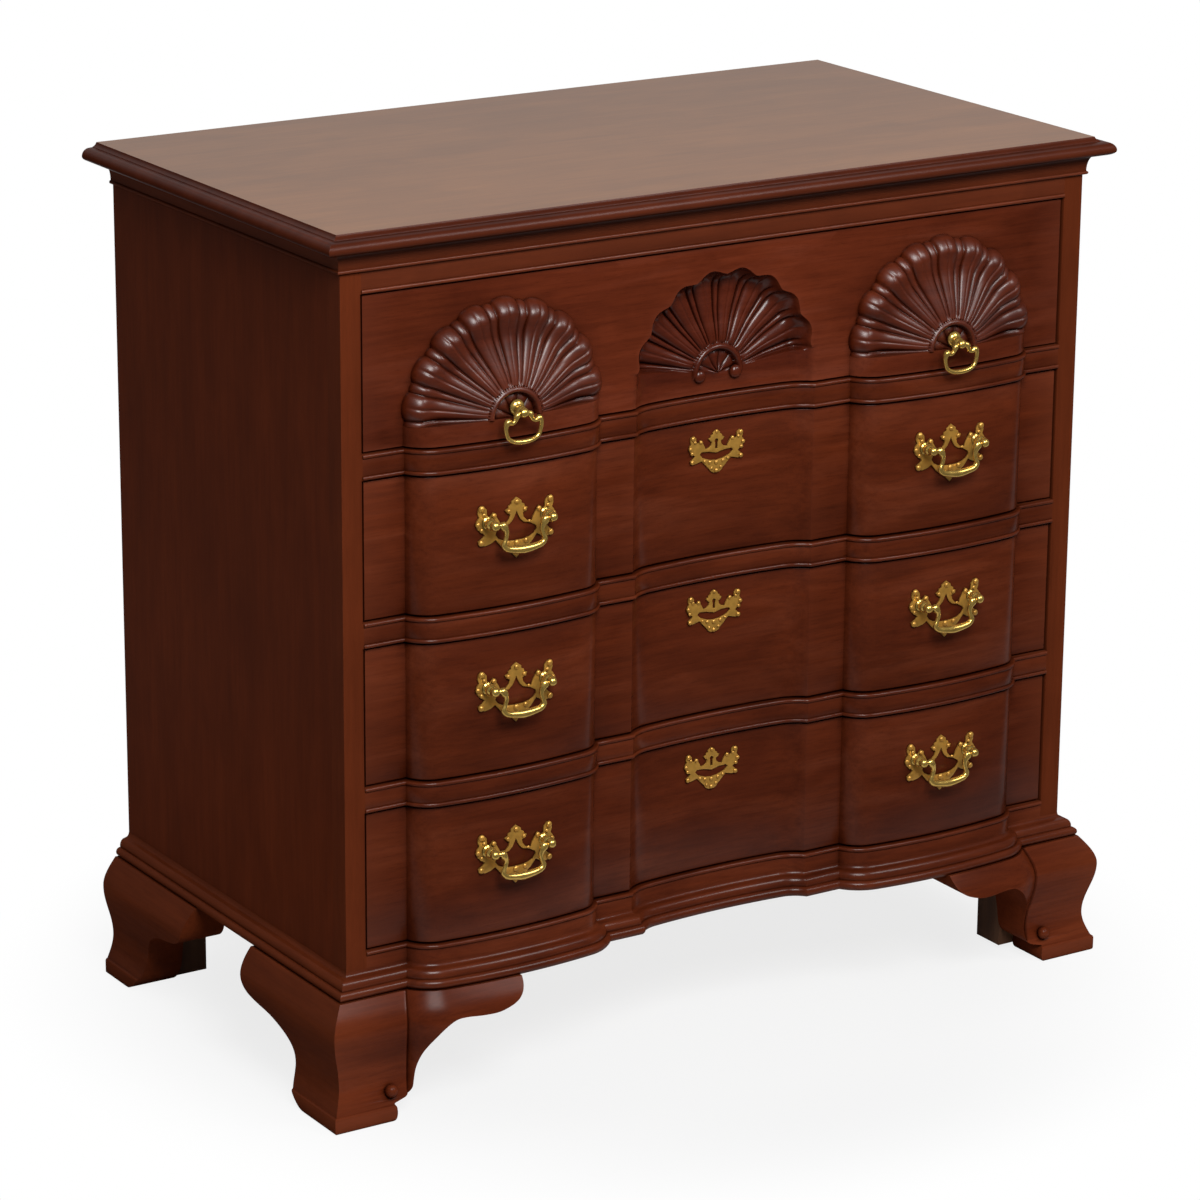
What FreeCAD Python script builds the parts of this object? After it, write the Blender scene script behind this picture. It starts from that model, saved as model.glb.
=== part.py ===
import FreeCAD, Part
import math
import os

from FreeCAD import Vector

# Block-front chest of four drawers on ogee bracket feet, all sizes in millimetres.
# +Z is up, the front faces -Y, and the origin lies on the floor under the middle of the
# chest's overall box. Names ending in _z are heights, and names ending in _y are places in depth.

# Carcase
case_width = 861.0
case_depth = 457.0
side_thickness = 19.0
stile_width = 22.5
stile_depth = 24.0
back_thickness = 6.0
back_rebate = 8.0
bottom_board_thickness = 12.7

# Heights, from the floor up; openings are listed from the top drawer down
foot_height = 127.0
bottom_rail_height = 41.0
divider_height = 25.0
top_rail_height = 41.8
top_thickness = 19.0
opening_heights = [152.8, 139.2, 139.2, 141.0]

# Top board and its edge
top_overhang = 24.0
top_back_overhang = 19.4
edge_cove = 4.2
edge_fillet_width = 3.8
nose_width = 8.4
nose_drop = 8.0
nose_return = 13.5

# Cove moulding under the top
cove_height = 20.0
cove_projection = 9.0
cove_hollow = 6.5
cove_bead_height = 3.6
cove_bead_projection = 4.2

# Blocking of the front: two raised blocks beside one hollow
block_centre = 255.5
block_half_width = 108.0
block_out = 26.0
block_crown_radius = 600.0
block_side_radius = 34.0
hollow_half_width = 105.0
hollow_in = 16.0
hollow_crown_radius = 800.0
hollow_side_radius = 45.0

# Rails, and the half-round bead worked round each opening
rail_depth = 80.0
top_rail_thickness = 22.0
bead_width = 4.5
bead_projection = 2.0

# Base moulding, from its foot up: bead, step, ovolo, small cove
moulding_height = 24.0
moulding_projection = 15.5
moulding_bead_height = 9.5
moulding_step = 4.6
moulding_ovolo_height = 7.5
moulding_ovolo_projection = 5.6

# Ogee bracket feet
ogee_top_offset = 16.5
ogee_belly_offset = 31.6
ogee_belly_height = 98.0
ogee_ankle_offset = 21.2
ogee_ankle_height = 43.0
pad_height = 16.5
pad_offset = 31.0
rear_leg_extra = 14.0

# Sawn outlines of the brackets, as (distance in from the carcase corner, height): from the top of
# the pad up the ankle and out along the wing, in arcs of three points each
front_wing = [(37.0, 16.5), (43.0, 26.0), (57.0, 41.0), (63.0, 60.0), (75.0, 84.0), (100.0, 101.0),
              (140.0, 100.5), (162.0, 107.0), (171.0, 120.0)]
side_wing = [(58.0, 10.5), (62.5, 30.0), (66.0, 52.0), (82.0, 68.5), (109.0, 79.0), (146.0, 87.0),
             (161.0, 118.0)]

# Plain board at the back of each rear foot
rear_bracket_thickness = 20.0
rear_bracket_length = 130.0
rear_bracket_pad = 45.0
rear_bracket_step = 12.0
rear_bracket_soffit = 92.0
rear_curve_reach = 22.0
rear_curve_height = 62.0

# Blocks glued behind the feet
glue_block_width = 38.0
glue_block_lift = 6.0

# How far saws and cutting blocks run past the work
trim = 1.0
saw_clearance = 10.0
saw_length = 80.0

# Drawers
drawer_side_gap = 1.5
drawer_end_gap = 1.3
drawer_inset = 2.5
front_web = 18.0
drawer_side_thickness = 12.0
drawer_side_drop = 3.0
drawer_back_thickness = 12.0
drawer_bottom_thickness = 6.0
drawer_bottom_lift = 12.0
drawer_groove = 6.0
drawer_rear_gap = 12.0
drawer_back_setback = 6.0
dovetail_count = 3
dovetail_length = 12.0
dovetail_splay = 3.0
dovetail_foot_margin = 2.0
dovetail_head_margin = 4.0
dovetail_gap_share = 0.12

# Inner frames that carry the drawers
run_gap = 0.3
runner_width = 45.0
guide_height = 18.0
kicker_thickness = 19.0
dust_thickness = 6.0
dust_groove = 8.0
stop_height = 8.0
stop_length = 24.0
stop_width = 50.0

# Carved shells of the top drawer
shell_strip = 20.0
shell_radius = 106.0
raised_lobes = 9
sunk_lobes = 8
lobe_steps = 3
lobe_bulge = 5.0
rosette_radius = 29.0
raised_rosette_rise = 3.64
sunk_rosette_rise = 5.1
niche_depth = 17.0

# Section of a shell from its rim inwards, as (share of its radius, share of its height)
shell_levels = [(1.0, 0.0), (0.985, 0.36), (0.88, 0.56), (0.60, 0.78), (0.33, 0.93)]

# Brasses
pull_rise = 11.0
pull_spacing = 64.0
post_rise = 6.0
plate_thickness = 1.8
plate_flat = 16.0
escutcheon_scale = 0.72
escutcheon_rise = 38.0
keyhole_width = 3.4
keyhole_height = 12.0
keyhole_top = 14.0
post_radius = 2.8
post_head_radius = 4.4
post_head_length = 7.0
post_reach = 14.0
pin_radius = 1.7
pin_clearance = 0.05
pin_length = 3.0
post_sides = 6
bail_end_gap = 0.5
bail_half_depth = 2.4
drop_rise = 7.0
drop_reach = 12.0

# Right halves of the bat-wing outline and its piercings, as (across, up) from the plate's middle:
# the outline runs from its crown round to its foot
wing_outline = [(0.0, 30.0), (10.5, 19.0), (7.5, 12.5), (14.0, 5.0), (25.0, 16.0), (33.5, 17.0), (35.0, 27.0),
                (41.0, 28.5), (43.0, 18.0), (44.0, 0.0), (36.0, -11.5), (42.0, -17.0), (37.5, -21.0),
                (28.0, -17.5), (14.0, -24.0), (0.0, -30.0)]
middle_opening = [(0.0, 13.0), (4.0, 4.0), (18.0, -4.0), (20.0, -9.0), (13.0, -15.0), (0.0, -16.0)]
crescent_opening = [(0.0, -6.0), (17.0, -4.0), (20.0, -9.0), (12.0, -15.0), (0.0, -16.0)]

# Left halves of the bails, as (across, up) from the pivot after the pin, with half widths along them
swan_path = [(23.5, 0.0), (19.5, -3.5), (19.5, -11.0), (23.5, -19.0), (20.5, -24.0), (12.0, -26.0),
             (0.0, -27.0)]
swan_widths = [2.4, 2.6, 2.4, 2.1, 2.4, 2.7, 3.0, 3.5]
stirrup_path = [(8.0, -1.0), (12.5, -9.0), (18.5, -11.0), (20.0, -18.0), (16.0, -27.5), (0.0, -31.5)]
stirrup_widths = [2.2, 2.0, 2.2, 2.4, 1.9, 2.1, 2.4]

# Heights that follow
bottom_rail_top_z = foot_height + bottom_rail_height
case_top_z = bottom_rail_top_z + sum(opening_heights) + 3 * divider_height + top_rail_height
total_height = case_top_z + top_thickness
opening_bottoms = []
level_z = bottom_rail_top_z
for opening_height in reversed(opening_heights):
    opening_bottoms.insert(0, level_z)
    level_z = level_z + opening_height + divider_height
opening_tops = [low + high for low, high in zip(opening_bottoms, opening_heights)]

# Places in depth that follow, with the whole box centred on the origin
front_reach = block_out + ogee_belly_offset
case_front_y = front_reach - (front_reach + case_depth + top_back_overhang) / 2
case_back_y = case_front_y + case_depth
back_panel_y = case_back_y - back_thickness
rail_back_y = case_front_y + rail_depth
drawer_front_y = case_front_y + drawer_inset
drawer_front_back_y = drawer_front_y + hollow_in + front_web
drawer_end_y = back_panel_y - drawer_rear_gap

# Widths that follow
case_half = case_width / 2
side_inner = case_half - side_thickness
opening_half = case_half - stile_width
drawer_half = opening_half - drawer_side_gap
drawer_inner_half = drawer_half - drawer_side_thickness


def box(x0, x1, y0, y1, z0, z1):
    """A rectangular block between two corners."""
    return Part.makeBox(x1 - x0, y1 - y0, z1 - z0, Vector(x0, y0, z0))


def mirrored(shape):
    """The same piece on the other side of the chest."""
    return shape.mirror(Vector(0, 0, 0), Vector(1, 0, 0))


def ellipse_points(centre, radii, start, end, steps):
    """Points on a quarter or half round, for a moulding's profile; angles in degrees."""
    points = []
    for step in range(steps + 1):
        angle = math.radians(start + (end - start) * step / steps)
        points.append((centre[0] + radii[0] * math.cos(angle), centre[1] + radii[1] * math.sin(angle)))
    return points


def save(name, *solids):
    """Write one node, which may hold several like pieces."""
    for solid in solids:
        if not solid.isValid() or solid.Volume <= 0:
            print("CHECK", name, solid.isValid(), round(solid.Volume, 3))
    shape = solids[0] if len(solids) == 1 else Part.makeCompound(list(solids))
    shape.exportStep("parts/" + name + ".step")


def one_solid(shape):
    """The single solid that a boolean leaves, free of its wrapper."""
    solids = shape.Solids
    if len(solids) != 1:
        print("CHECK solids", len(solids))
    return solids[0]


# --- The blocked front in plan -------------------------------------------------------------

def bow_points(half_width, depth, crown_radius, side_radius, offset):
    """Seven points of one block or hollow, as (along, out) from its centre on the flat.

    Each bow is a wide crown arc with a tighter arc at each side that rises from the flat.
    An offset moves the whole line outwards, so that a moulding can follow it.
    """
    crown_y = depth - crown_radius
    reach = crown_radius - side_radius
    half_sum = (side_radius ** 2 + half_width ** 2 + crown_y ** 2 - reach ** 2) / 2
    square = crown_y ** 2 + half_width ** 2
    root = (half_sum * half_width) ** 2 - square * (half_sum ** 2 - (side_radius * crown_y) ** 2)
    side_x = (half_sum * half_width + math.sqrt(root)) / square
    side_y = (half_sum - half_width * side_x) / crown_y
    radius = side_radius + offset
    centre_x = side_x - half_width
    start = (centre_x - math.sqrt(radius ** 2 - (offset - side_y) ** 2), offset)
    lean = math.atan2(side_y - crown_y, centre_x)
    join = ((crown_radius + offset) * math.cos(lean), crown_y + (crown_radius + offset) * math.sin(lean))
    start_angle = math.atan2(start[1] - side_y, start[0] - centre_x)
    middle = (start_angle + lean) / 2
    rise = (centre_x + radius * math.cos(middle), side_y + radius * math.sin(middle))
    top = (0.0, depth + offset)
    left = [start, rise, join]
    return left + [top] + [(-x, y) for x, y in reversed(left)]


def bow_edges(centre_x, y, z, sign, points):
    """Three arcs of one bow; sign is 1 for a raised block and -1 for the hollow."""
    placed = [Vector(centre_x + along, y - sign * out, z) for along, out in points]
    return [Part.Arc(*placed[first:first + 3]).toShape() for first in (0, 2, 4)]


def block_points(offset):
    return bow_points(block_half_width, block_out, block_crown_radius, block_side_radius, offset)


def hollow_points(offset):
    return bow_points(hollow_half_width, hollow_in, hollow_crown_radius, hollow_side_radius, -offset)


def blocked_outline(offset, z, half_width, back_y):
    """Closed plan of a piece whose front follows the blocking, pushed out by an offset."""
    y = case_front_y - offset
    start = Vector(-half_width, y, z)
    corner = start
    edges = []
    for centre, sign, points in (
        (-block_centre, 1, block_points(offset)),
        (0.0, -1, hollow_points(offset)),
        (block_centre, 1, block_points(offset)),
    ):
        bow = bow_edges(centre, case_front_y, z, sign, points)
        edges.append(Part.makeLine(corner, bow[0].Vertexes[0].Point))
        edges.extend(bow)
        corner = bow[-1].Vertexes[-1].Point
    back = [Vector(half_width, back_y, z), Vector(-half_width, back_y, z)]
    loop = [corner, Vector(half_width, y, z)] + back + [start]
    for first, second in zip(loop, loop[1:]):
        edges.append(Part.makeLine(first, second))
    return Part.Wire(edges)


def plain_outline(inset_x, front_y, back_y, z):
    """Closed rectangle in plan, for the top and its mouldings."""
    corners = [(-inset_x, front_y), (inset_x, front_y), (inset_x, back_y), (-inset_x, back_y)]
    points = [Vector(x, y, z) for x, y in corners]
    return Part.makePolygon(points + [points[0]])


def stack(wires):
    """A solid whose walls join each outline to the next one up."""
    return Part.makeLoft(wires, True, True)


def flat_face(points):
    return Part.Face(Part.makePolygon(points + [points[0]]))


def faceted(rings):
    """A cast or carved solid of flat faces between one ring of points and the next, capped at both ends."""
    faces = [flat_face(rings[0]), flat_face(rings[-1])]
    for near, far in zip(rings, rings[1:]):
        for place, corner in enumerate(near):
            beyond = (place + 1) % len(near)
            faces.append(flat_face([corner, near[beyond], far[beyond]]))
            faces.append(flat_face([corner, far[beyond], far[place]]))
    solid = Part.makeSolid(Part.makeShell(faces))
    if solid.Volume < 0:
        solid.reverse()
    return solid.removeSplitter()


def blocked_stack(profile, half_width, back_y, follow_sides):
    """A blocked piece from a profile of (offset, height) points."""
    wires = []
    for offset, z in profile:
        side = half_width + (offset if follow_sides else 0.0)
        wires.append(blocked_outline(offset, z, side, back_y))
    return stack(wires)


# --- Carcase ---------------------------------------------------------------------------------

def top_board():
    """Top board with a small cove, a fillet and a rounded nose on its front and two sides."""
    nose_inset = edge_cove + edge_fillet_width + nose_width
    profile = [(nose_inset, 0.0), (nose_inset - edge_cove * 0.35, -edge_cove * 0.62)]
    profile.append((nose_inset - edge_cove, -edge_cove))
    profile.append((nose_width, -edge_cove - 0.6))
    nose_top = -edge_cove - 0.6
    for x, z in ellipse_points((nose_width, nose_top - nose_drop), (nose_width, nose_drop), 90, 180, 5)[1:]:
        profile.append((x, z))
    lower_rise = top_thickness + nose_top - nose_drop
    centre = (nose_return, nose_top - nose_drop)
    for x, z in ellipse_points(centre, (nose_return, lower_rise), 180, 270, 4)[1:]:
        profile.append((x, z))
    profile[-1] = (nose_return, -top_thickness)
    outer = case_half + top_overhang
    front_y = case_front_y - top_overhang
    back_y = case_back_y + top_back_overhang
    wires = []
    for inset, drop in reversed(profile):
        wires.append(plain_outline(outer - inset, front_y + inset, back_y, total_height + drop))
    return stack(wires)


def cove_profile():
    """Cove moulding from its lower edge up, as (projection, height above its foot)."""
    half_bead = cove_bead_height / 2
    points = ellipse_points((cove_bead_projection - half_bead, half_bead), (half_bead, half_bead), -90, 60, 4)
    rise = cove_height - cove_bead_height
    centre = (cove_projection, cove_bead_height)
    return points + ellipse_points(centre, (cove_hollow, rise), 180, 90, 5)


def mitre_wedge(z0, z1):
    """Everything nearer the front than the sides, bounded by the two mitres."""
    reach = case_half + saw_length
    tip = case_half - trim
    corners = [(-reach, case_front_y - saw_length), (reach, case_front_y - saw_length)]
    corners.extend([(case_half - tip, case_front_y + tip), (tip - case_half, case_front_y + tip)])
    points = [Vector(x, y, z0) for x, y in corners]
    return bar(points, Vector(0, 0, z1 - z0))


def side_half(z0, z1):
    """The left half of the chest's space, for taking one side's moulding or bracket."""
    return box(-case_half - saw_length, 0, case_front_y - saw_length, case_back_y + saw_length, z0, z1)


def split_ring(ring, z0, z1):
    """Mitre a moulding that runs round three sides into its front, left and right lengths."""
    wedge = mitre_wedge(z0 - trim, z1 + trim)
    front = one_solid(ring.common(wedge))
    left = one_solid(ring.cut(wedge).common(side_half(z0 - trim, z1 + trim)))
    return front, left, mirrored(left)


def cove_mouldings():
    """The cove moulding seated under the top board, against the carcase."""
    foot_z = case_top_z - cove_height
    wires = []
    for out, rise in cove_profile():
        wires.append(plain_outline(case_half + out, case_front_y - out, case_back_y, foot_z + rise))
    core = box(-case_half, case_half, case_front_y, case_back_y + trim, foot_z - trim, case_top_z + trim)
    return split_ring(stack(wires).cut(core), foot_z, case_top_z)


def back_panel():
    reach = side_inner + back_rebate
    return box(-reach, reach, back_panel_y, case_back_y, foot_height, case_top_z)


def side_panel():
    """Left side, rebated for the back and set behind its stile."""
    panel = box(-case_half, -side_inner, case_front_y, case_back_y, foot_height, case_top_z)
    return panel.cut(stile()).cut(back_panel()).cut(bottom_rail_solid()).cut(top_rail_solid())


def stile():
    """Left front stile, with a half-round bead down the edge of every opening."""
    body = box(-case_half, -opening_half, case_front_y, case_front_y + stile_depth, bottom_rail_top_z,
               opening_tops[0])
    for low, high in zip(opening_bottoms, opening_tops):
        points = [Vector(-opening_half - across, case_front_y - out, low) for out, across in bead_profile()]
        points.append(Vector(-opening_half, case_front_y, low))
        body = body.fuse(bar(points, Vector(0, 0, high - low)))
    return body.removeSplitter()


def bead_profile():
    """Bead worked on an edge, as a plain slope of (projection, distance in from the edge)."""
    return [(bead_projection, 0.0), (0.0, bead_width)]


def bar(points, length):
    """A straight bar with the section that the points enclose."""
    return flat_face(points).extrude(length)


def divider_solid(low, high):
    """Blocked rail between two drawers, beaded on both edges and notched behind the stiles."""
    profile = [(out, low + across) for out, across in bead_profile()]
    profile.extend([(out, high - across) for out, across in reversed(bead_profile())])
    front = blocked_stack(profile, opening_half, rail_back_y, False)
    tenon = box(-side_inner, side_inner, case_front_y + stile_depth, rail_back_y, low, high)
    return without(front.fuse(tenon).removeSplitter(), dust_panels())


def bottom_rail_solid():
    """Blocked bottom rail, which runs across under both stiles and carries the base moulding."""
    bead_foot_z = bottom_rail_top_z - bead_width
    lower = blocked_stack([(0.0, foot_height), (0.0, bead_foot_z)], case_half, rail_back_y, False)
    bead = [(out, bottom_rail_top_z - across) for out, across in reversed(bead_profile())]
    upper = blocked_stack(bead, opening_half, rail_back_y, False)
    ends = box(-case_half, case_half, case_front_y, case_front_y + stile_depth,
               bead_foot_z, bottom_rail_top_z)
    rail = lower.fuse(upper).fuse(ends)
    behind = box(-case_half, -side_inner, case_front_y + stile_depth, rail_back_y, foot_height,
                 bottom_rail_top_z)
    return rail.cut(behind).cut(mirrored(behind)).removeSplitter()


def top_rail_solid():
    """Flat rail over the top drawer, beaded on its lower edge."""
    low, high = opening_tops[0], case_top_z
    rail = box(-case_half, case_half, case_front_y, case_front_y + top_rail_thickness, low, high)
    points = [Vector(-opening_half, case_front_y - out, low + across) for out, across in bead_profile()]
    points.append(Vector(-opening_half, case_front_y, low))
    return rail.fuse(bar(points, Vector(2 * opening_half, 0, 0))).removeSplitter()


# --- Frames inside the carcase -----------------------------------------------------------------

def frame_levels():
    """Top and bottom heights of each drawer's frame, from the top drawer down."""
    return [(low, low - divider_height) for low in opening_bottoms]


def dust_panels():
    """Thin panels that close each frame between two drawers."""
    panels = []
    reach = side_inner - runner_width + dust_groove
    for high, low in frame_levels()[:-1]:
        middle = (high + low) / 2
        panels.append(box(-reach, reach, rail_back_y - dust_groove, back_panel_y - runner_width + dust_groove,
                          middle - dust_thickness / 2, middle + dust_thickness / 2))
    return panels


def without(shape, others):
    """Cut housings for other pieces."""
    for other in others:
        shape = shape.cut(other)
    return shape


def runners():
    """Runners on both sides at each drawer's foot."""
    pieces = []
    for high, low in frame_levels():
        left = box(-side_inner, -side_inner + runner_width, rail_back_y, back_panel_y, low, high)
        left = one_solid(without(left, dust_panels()))
        pieces.extend([left, mirrored(left)])
    return pieces


def kickers():
    """Strips over the top drawer's sides, which keep it from tipping when it is open."""
    low = opening_tops[0]
    left = box(-side_inner, -side_inner + runner_width, case_front_y + top_rail_thickness, back_panel_y,
               low, low + kicker_thickness)
    return [left, mirrored(left)]


def guides():
    """Thin strips between each drawer side and the carcase side."""
    pieces = []
    thickness = side_inner - drawer_half - drawer_side_gap
    for high, low in frame_levels():
        left = box(-side_inner, -side_inner + thickness, rail_back_y, back_panel_y, high, high + guide_height)
        pieces.extend([left, mirrored(left)])
    return pieces


def rear_rails():
    """Cross rails at the back of each frame."""
    pieces = []
    reach = side_inner - runner_width
    for high, low in frame_levels():
        rail = box(-reach, reach, back_panel_y - runner_width, back_panel_y, low, high)
        pieces.append(one_solid(without(rail, dust_panels())))
    return pieces


def drawer_stops():
    """Small blocks on the rails that stop each drawer's front flush."""
    pieces = []
    start = drawer_front_back_y + run_gap
    for high, low in frame_levels():
        left = box(-block_centre - stop_width / 2, -block_centre + stop_width / 2, start, start + stop_length,
                   high, high + stop_height)
        pieces.extend([left, mirrored(left)])
    return pieces


def bottom_board():
    """Board that closes the carcase under the lowest frame."""
    high = bottom_rail_top_z - divider_height
    return box(-side_inner, side_inner, rail_back_y, back_panel_y, high - bottom_board_thickness, high)


# --- Base moulding and feet ----------------------------------------------------------------------

def base_profile():
    """Base moulding from its foot up, as (offset, height above its foot)."""
    bead_centre = (moulding_projection - moulding_bead_height / 2, moulding_bead_height / 2)
    bead_reach = moulding_bead_height / 2
    points = ellipse_points(bead_centre, (bead_reach, bead_reach), -50, 90, 2)
    points[0] = (points[0][0], 0.0)
    step_out = moulding_projection - moulding_step
    ovolo_foot = moulding_bead_height + 1.6
    centre = (step_out - moulding_ovolo_projection, ovolo_foot)
    points.extend(ellipse_points(centre, (moulding_ovolo_projection, moulding_ovolo_height), 0, 90, 2))
    cove_foot = ovolo_foot + moulding_ovolo_height
    cove_out = step_out - moulding_ovolo_projection - 0.8
    points.append((cove_out * 0.35, cove_foot + (moulding_height - cove_foot) * 0.5))
    points.append((0.05, moulding_height))
    return points


def base_mouldings():
    """The base moulding, which follows the blocking across the front and returns along the sides."""
    profile = [(offset, foot_height + rise) for offset, rise in base_profile()]
    ring = blocked_stack(profile, case_half, case_back_y, True)
    top_z = foot_height + moulding_height
    ends = [(0.0, foot_height - trim), (0.0, top_z + trim)]
    core = blocked_stack(ends, case_half, case_back_y + trim, True)
    return split_ring(ring.cut(core), foot_height, top_z)


def ogee_offset(z):
    """How far an ogee foot stands out from the carcase at a height."""
    if z >= ogee_belly_height:
        share = (z - ogee_belly_height) / (foot_height - ogee_belly_height)
        fall = 1 - math.cos(share * math.pi / 2)
        return ogee_belly_offset - (ogee_belly_offset - ogee_top_offset) * fall
    if z >= ogee_ankle_height:
        share = (ogee_belly_height - z) / (ogee_belly_height - ogee_ankle_height)
        fall = (1 - math.cos(share * math.pi)) / 2
        return ogee_belly_offset - (ogee_belly_offset - ogee_ankle_offset) * fall
    share = (ogee_ankle_height - z) / (ogee_ankle_height - pad_height)
    return ogee_ankle_offset + (pad_offset - ogee_ankle_offset) * (1 - math.cos(share * math.pi / 2))


def foot_profile():
    """Ogee from the floor up, as (offset, height)."""
    profile = [(pad_offset, 0.0), (pad_offset, pad_height)]
    for first, last, steps in (
        (pad_height, ogee_ankle_height, 2),
        (ogee_ankle_height, ogee_belly_height, 3),
        (ogee_belly_height, foot_height, 2),
    ):
        for step in range(1, steps + 1):
            z = first + (last - first) * step / steps
            profile.append((ogee_offset(z), z))
    return profile


def bracket_face(extra, points):
    """Cut-out shape of one bracket, as (distance in from the carcase corner, height).

    The points run from the pad up the ankle and out along the wing, in arcs of three points each.
    """
    places = [Vector(along + extra, z, 0) for along, z in points]
    edges = [Part.Arc(*places[first:first + 3]).toShape() for first in range(0, len(places) - 2, 2)]
    outer = -ogee_belly_offset - saw_clearance
    corners = [places[-1], Vector(places[-1].x, foot_height, 0), Vector(outer, foot_height, 0),
               Vector(outer, 0, 0), Vector(places[0].x, 0, 0), places[0]]
    for one, two in zip(corners, corners[1:]):
        edges.append(Part.makeLine(one, two))
    return Part.Face(Part.Wire(edges))


def to_front(face):
    """Stand a bracket's outline across the front, measured from the left corner."""
    face = face.copy()
    face.rotate(Vector(0, 0, 0), Vector(1, 0, 0), 90)
    face.translate(Vector(-case_half, case_front_y + saw_length, 0))
    return face.extrude(Vector(0, -2 * saw_length, 0))


def to_side(face, corner_y, towards_back):
    """Stand a bracket's outline along the left side, measured from a corner."""
    face = face.copy()
    face.rotate(Vector(0, 0, 0), Vector(1, 0, 0), 90)
    face.rotate(Vector(0, 0, 0), Vector(0, 0, 1), 90)
    if not towards_back:
        face = face.mirror(Vector(0, 0, 0), Vector(0, 1, 0))
    face.translate(Vector(-case_half - saw_length, corner_y, 0))
    return face.extrude(Vector(2 * saw_length, 0, 0))


def foot_ring():
    """The ogee carried right round the front and both sides, before the feet are sawn from it."""
    ring = blocked_stack(foot_profile(), case_half, case_back_y, True)
    core = box(-side_inner, side_inner, case_front_y + side_thickness, case_back_y + trim,
               -trim, foot_height + trim)
    return ring.cut(core)


def left_brackets():
    """Front, front side and rear side brackets of the two left feet."""
    wedge = mitre_wedge(-trim, foot_height + trim)
    left_ring = foot_ring().common(side_half(-trim, foot_height + trim))
    front = one_solid(left_ring.common(wedge).common(to_front(bracket_face(0.0, front_wing))))
    sides = left_ring.cut(wedge)
    front_side = one_solid(sides.common(to_side(bracket_face(0.0, side_wing), case_front_y, True)))
    rear_face = bracket_face(rear_leg_extra, side_wing)
    rear_side = one_solid(sides.common(to_side(rear_face, case_back_y, False)))
    return front, front_side, rear_side


def rear_bracket():
    """Plain board across the back of the left rear foot, cut to a simple curve."""
    pad = Vector(rear_bracket_pad, 0, 0)
    rise = Vector(rear_bracket_pad + rear_curve_reach, 0, rear_curve_height)
    low = rear_bracket_soffit
    end = rear_bracket_length
    step = Vector(end - rear_bracket_step, 0, low)
    arc = Part.Arc(pad, rise, step).toShape()
    corners = [step, Vector(end, 0, low), Vector(end, 0, foot_height), Vector(0, 0, foot_height),
               Vector(0, 0, 0), pad]
    edges = [arc]
    for one, two in zip(corners, corners[1:]):
        edges.append(Part.makeLine(one, two))
    board = Part.Face(Part.Wire(edges)).extrude(Vector(0, rear_bracket_thickness, 0))
    board.translate(Vector(-side_inner, case_back_y - rear_bracket_thickness, 0))
    return board


def glue_blocks():
    """Square blocks glued in the corner of each foot, a little short of the floor."""
    front_y = case_front_y + side_thickness
    rear_y = case_back_y - rear_bracket_thickness
    rear_top = bottom_rail_top_z - divider_height - bottom_board_thickness
    front = box(-side_inner, -side_inner + glue_block_width, front_y, front_y + glue_block_width,
                glue_block_lift, foot_height)
    rear = box(-side_inner, -side_inner + glue_block_width, rear_y - glue_block_width, rear_y,
               glue_block_lift, rear_top)
    return [front, mirrored(front), rear, mirrored(rear)]


# --- Drawers -----------------------------------------------------------------------------------

def front_ends(index):
    """Lowest and highest point of one drawer's front."""
    return opening_bottoms[index] + drawer_end_gap, opening_tops[index] - drawer_end_gap


def blocked_front(index):
    """Front of drawers two to four, blocked over its whole height."""
    low, high = front_ends(index)
    profile = [(-drawer_inset, low), (-drawer_inset, high)]
    return blocked_stack(profile, drawer_half, drawer_front_back_y, False)


def shell_base_z():
    return front_ends(0)[0] + shell_strip


def shell_ring(lobes, radius, y, bulge):
    """Scalloped half round of the shell's lobes."""
    steps = lobes * lobe_steps
    points = []
    for step in range(steps + 1):
        angle = math.pi * step / steps
        reach = radius + bulge * math.sin(math.pi * (step % lobe_steps) / lobe_steps)
        points.append(Vector(reach * math.cos(angle), y, shell_base_z() + reach * math.sin(angle)))
    return points


def shell_stack(lobes, height, towards):
    """Fluted half dome; towards is -1 for a raised shell and 1 for a sunk one."""
    rings = []
    for share, rise in shell_levels:
        y = drawer_front_y + towards * height * rise
        rings.append(shell_ring(lobes, shell_radius * share, y, lobe_bulge * share))
    return faceted(rings)


def rosette(start_y, rise):
    """Half-round boss from which the lobes spring, standing out from a place in depth."""
    low = shell_base_z()
    boss = Part.makeCylinder(rosette_radius, rise, Vector(0, start_y, low), Vector(0, -1, 0))
    upper_half = box(-rosette_radius, rosette_radius, start_y - rise, start_y, low, low + rosette_radius)
    return boss.common(upper_half)


def raised_shell():
    """Raised shell on the left block of the top drawer."""
    start_y = drawer_front_y - block_out * shell_levels[-1][1]
    shell = shell_stack(raised_lobes, block_out, -1)
    shell = shell.fuse(rosette(start_y, raised_rosette_rise)).removeSplitter()
    shell.translate(Vector(-block_centre, 0, 0))
    return one_solid(shell)


def top_drawer_front():
    """Flat front with blocked strips under the raised shells and a sunk shell in the middle."""
    low, high = front_ends(0)
    middle = shell_base_z()
    profile = [(-drawer_inset, low), (-drawer_inset, middle)]
    blocks = blocked_stack(profile, drawer_half, drawer_front_back_y, False)
    upper = box(-drawer_half, drawer_half, drawer_front_y, drawer_front_back_y, middle, high)
    niche = shell_stack(sunk_lobes, niche_depth, 1)
    niche_floor_y = drawer_front_y + niche_depth * shell_levels[-1][1]
    upper = upper.cut(niche.cut(rosette(niche_floor_y, sunk_rosette_rise)))
    return one_solid(blocks.fuse(upper))


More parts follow.
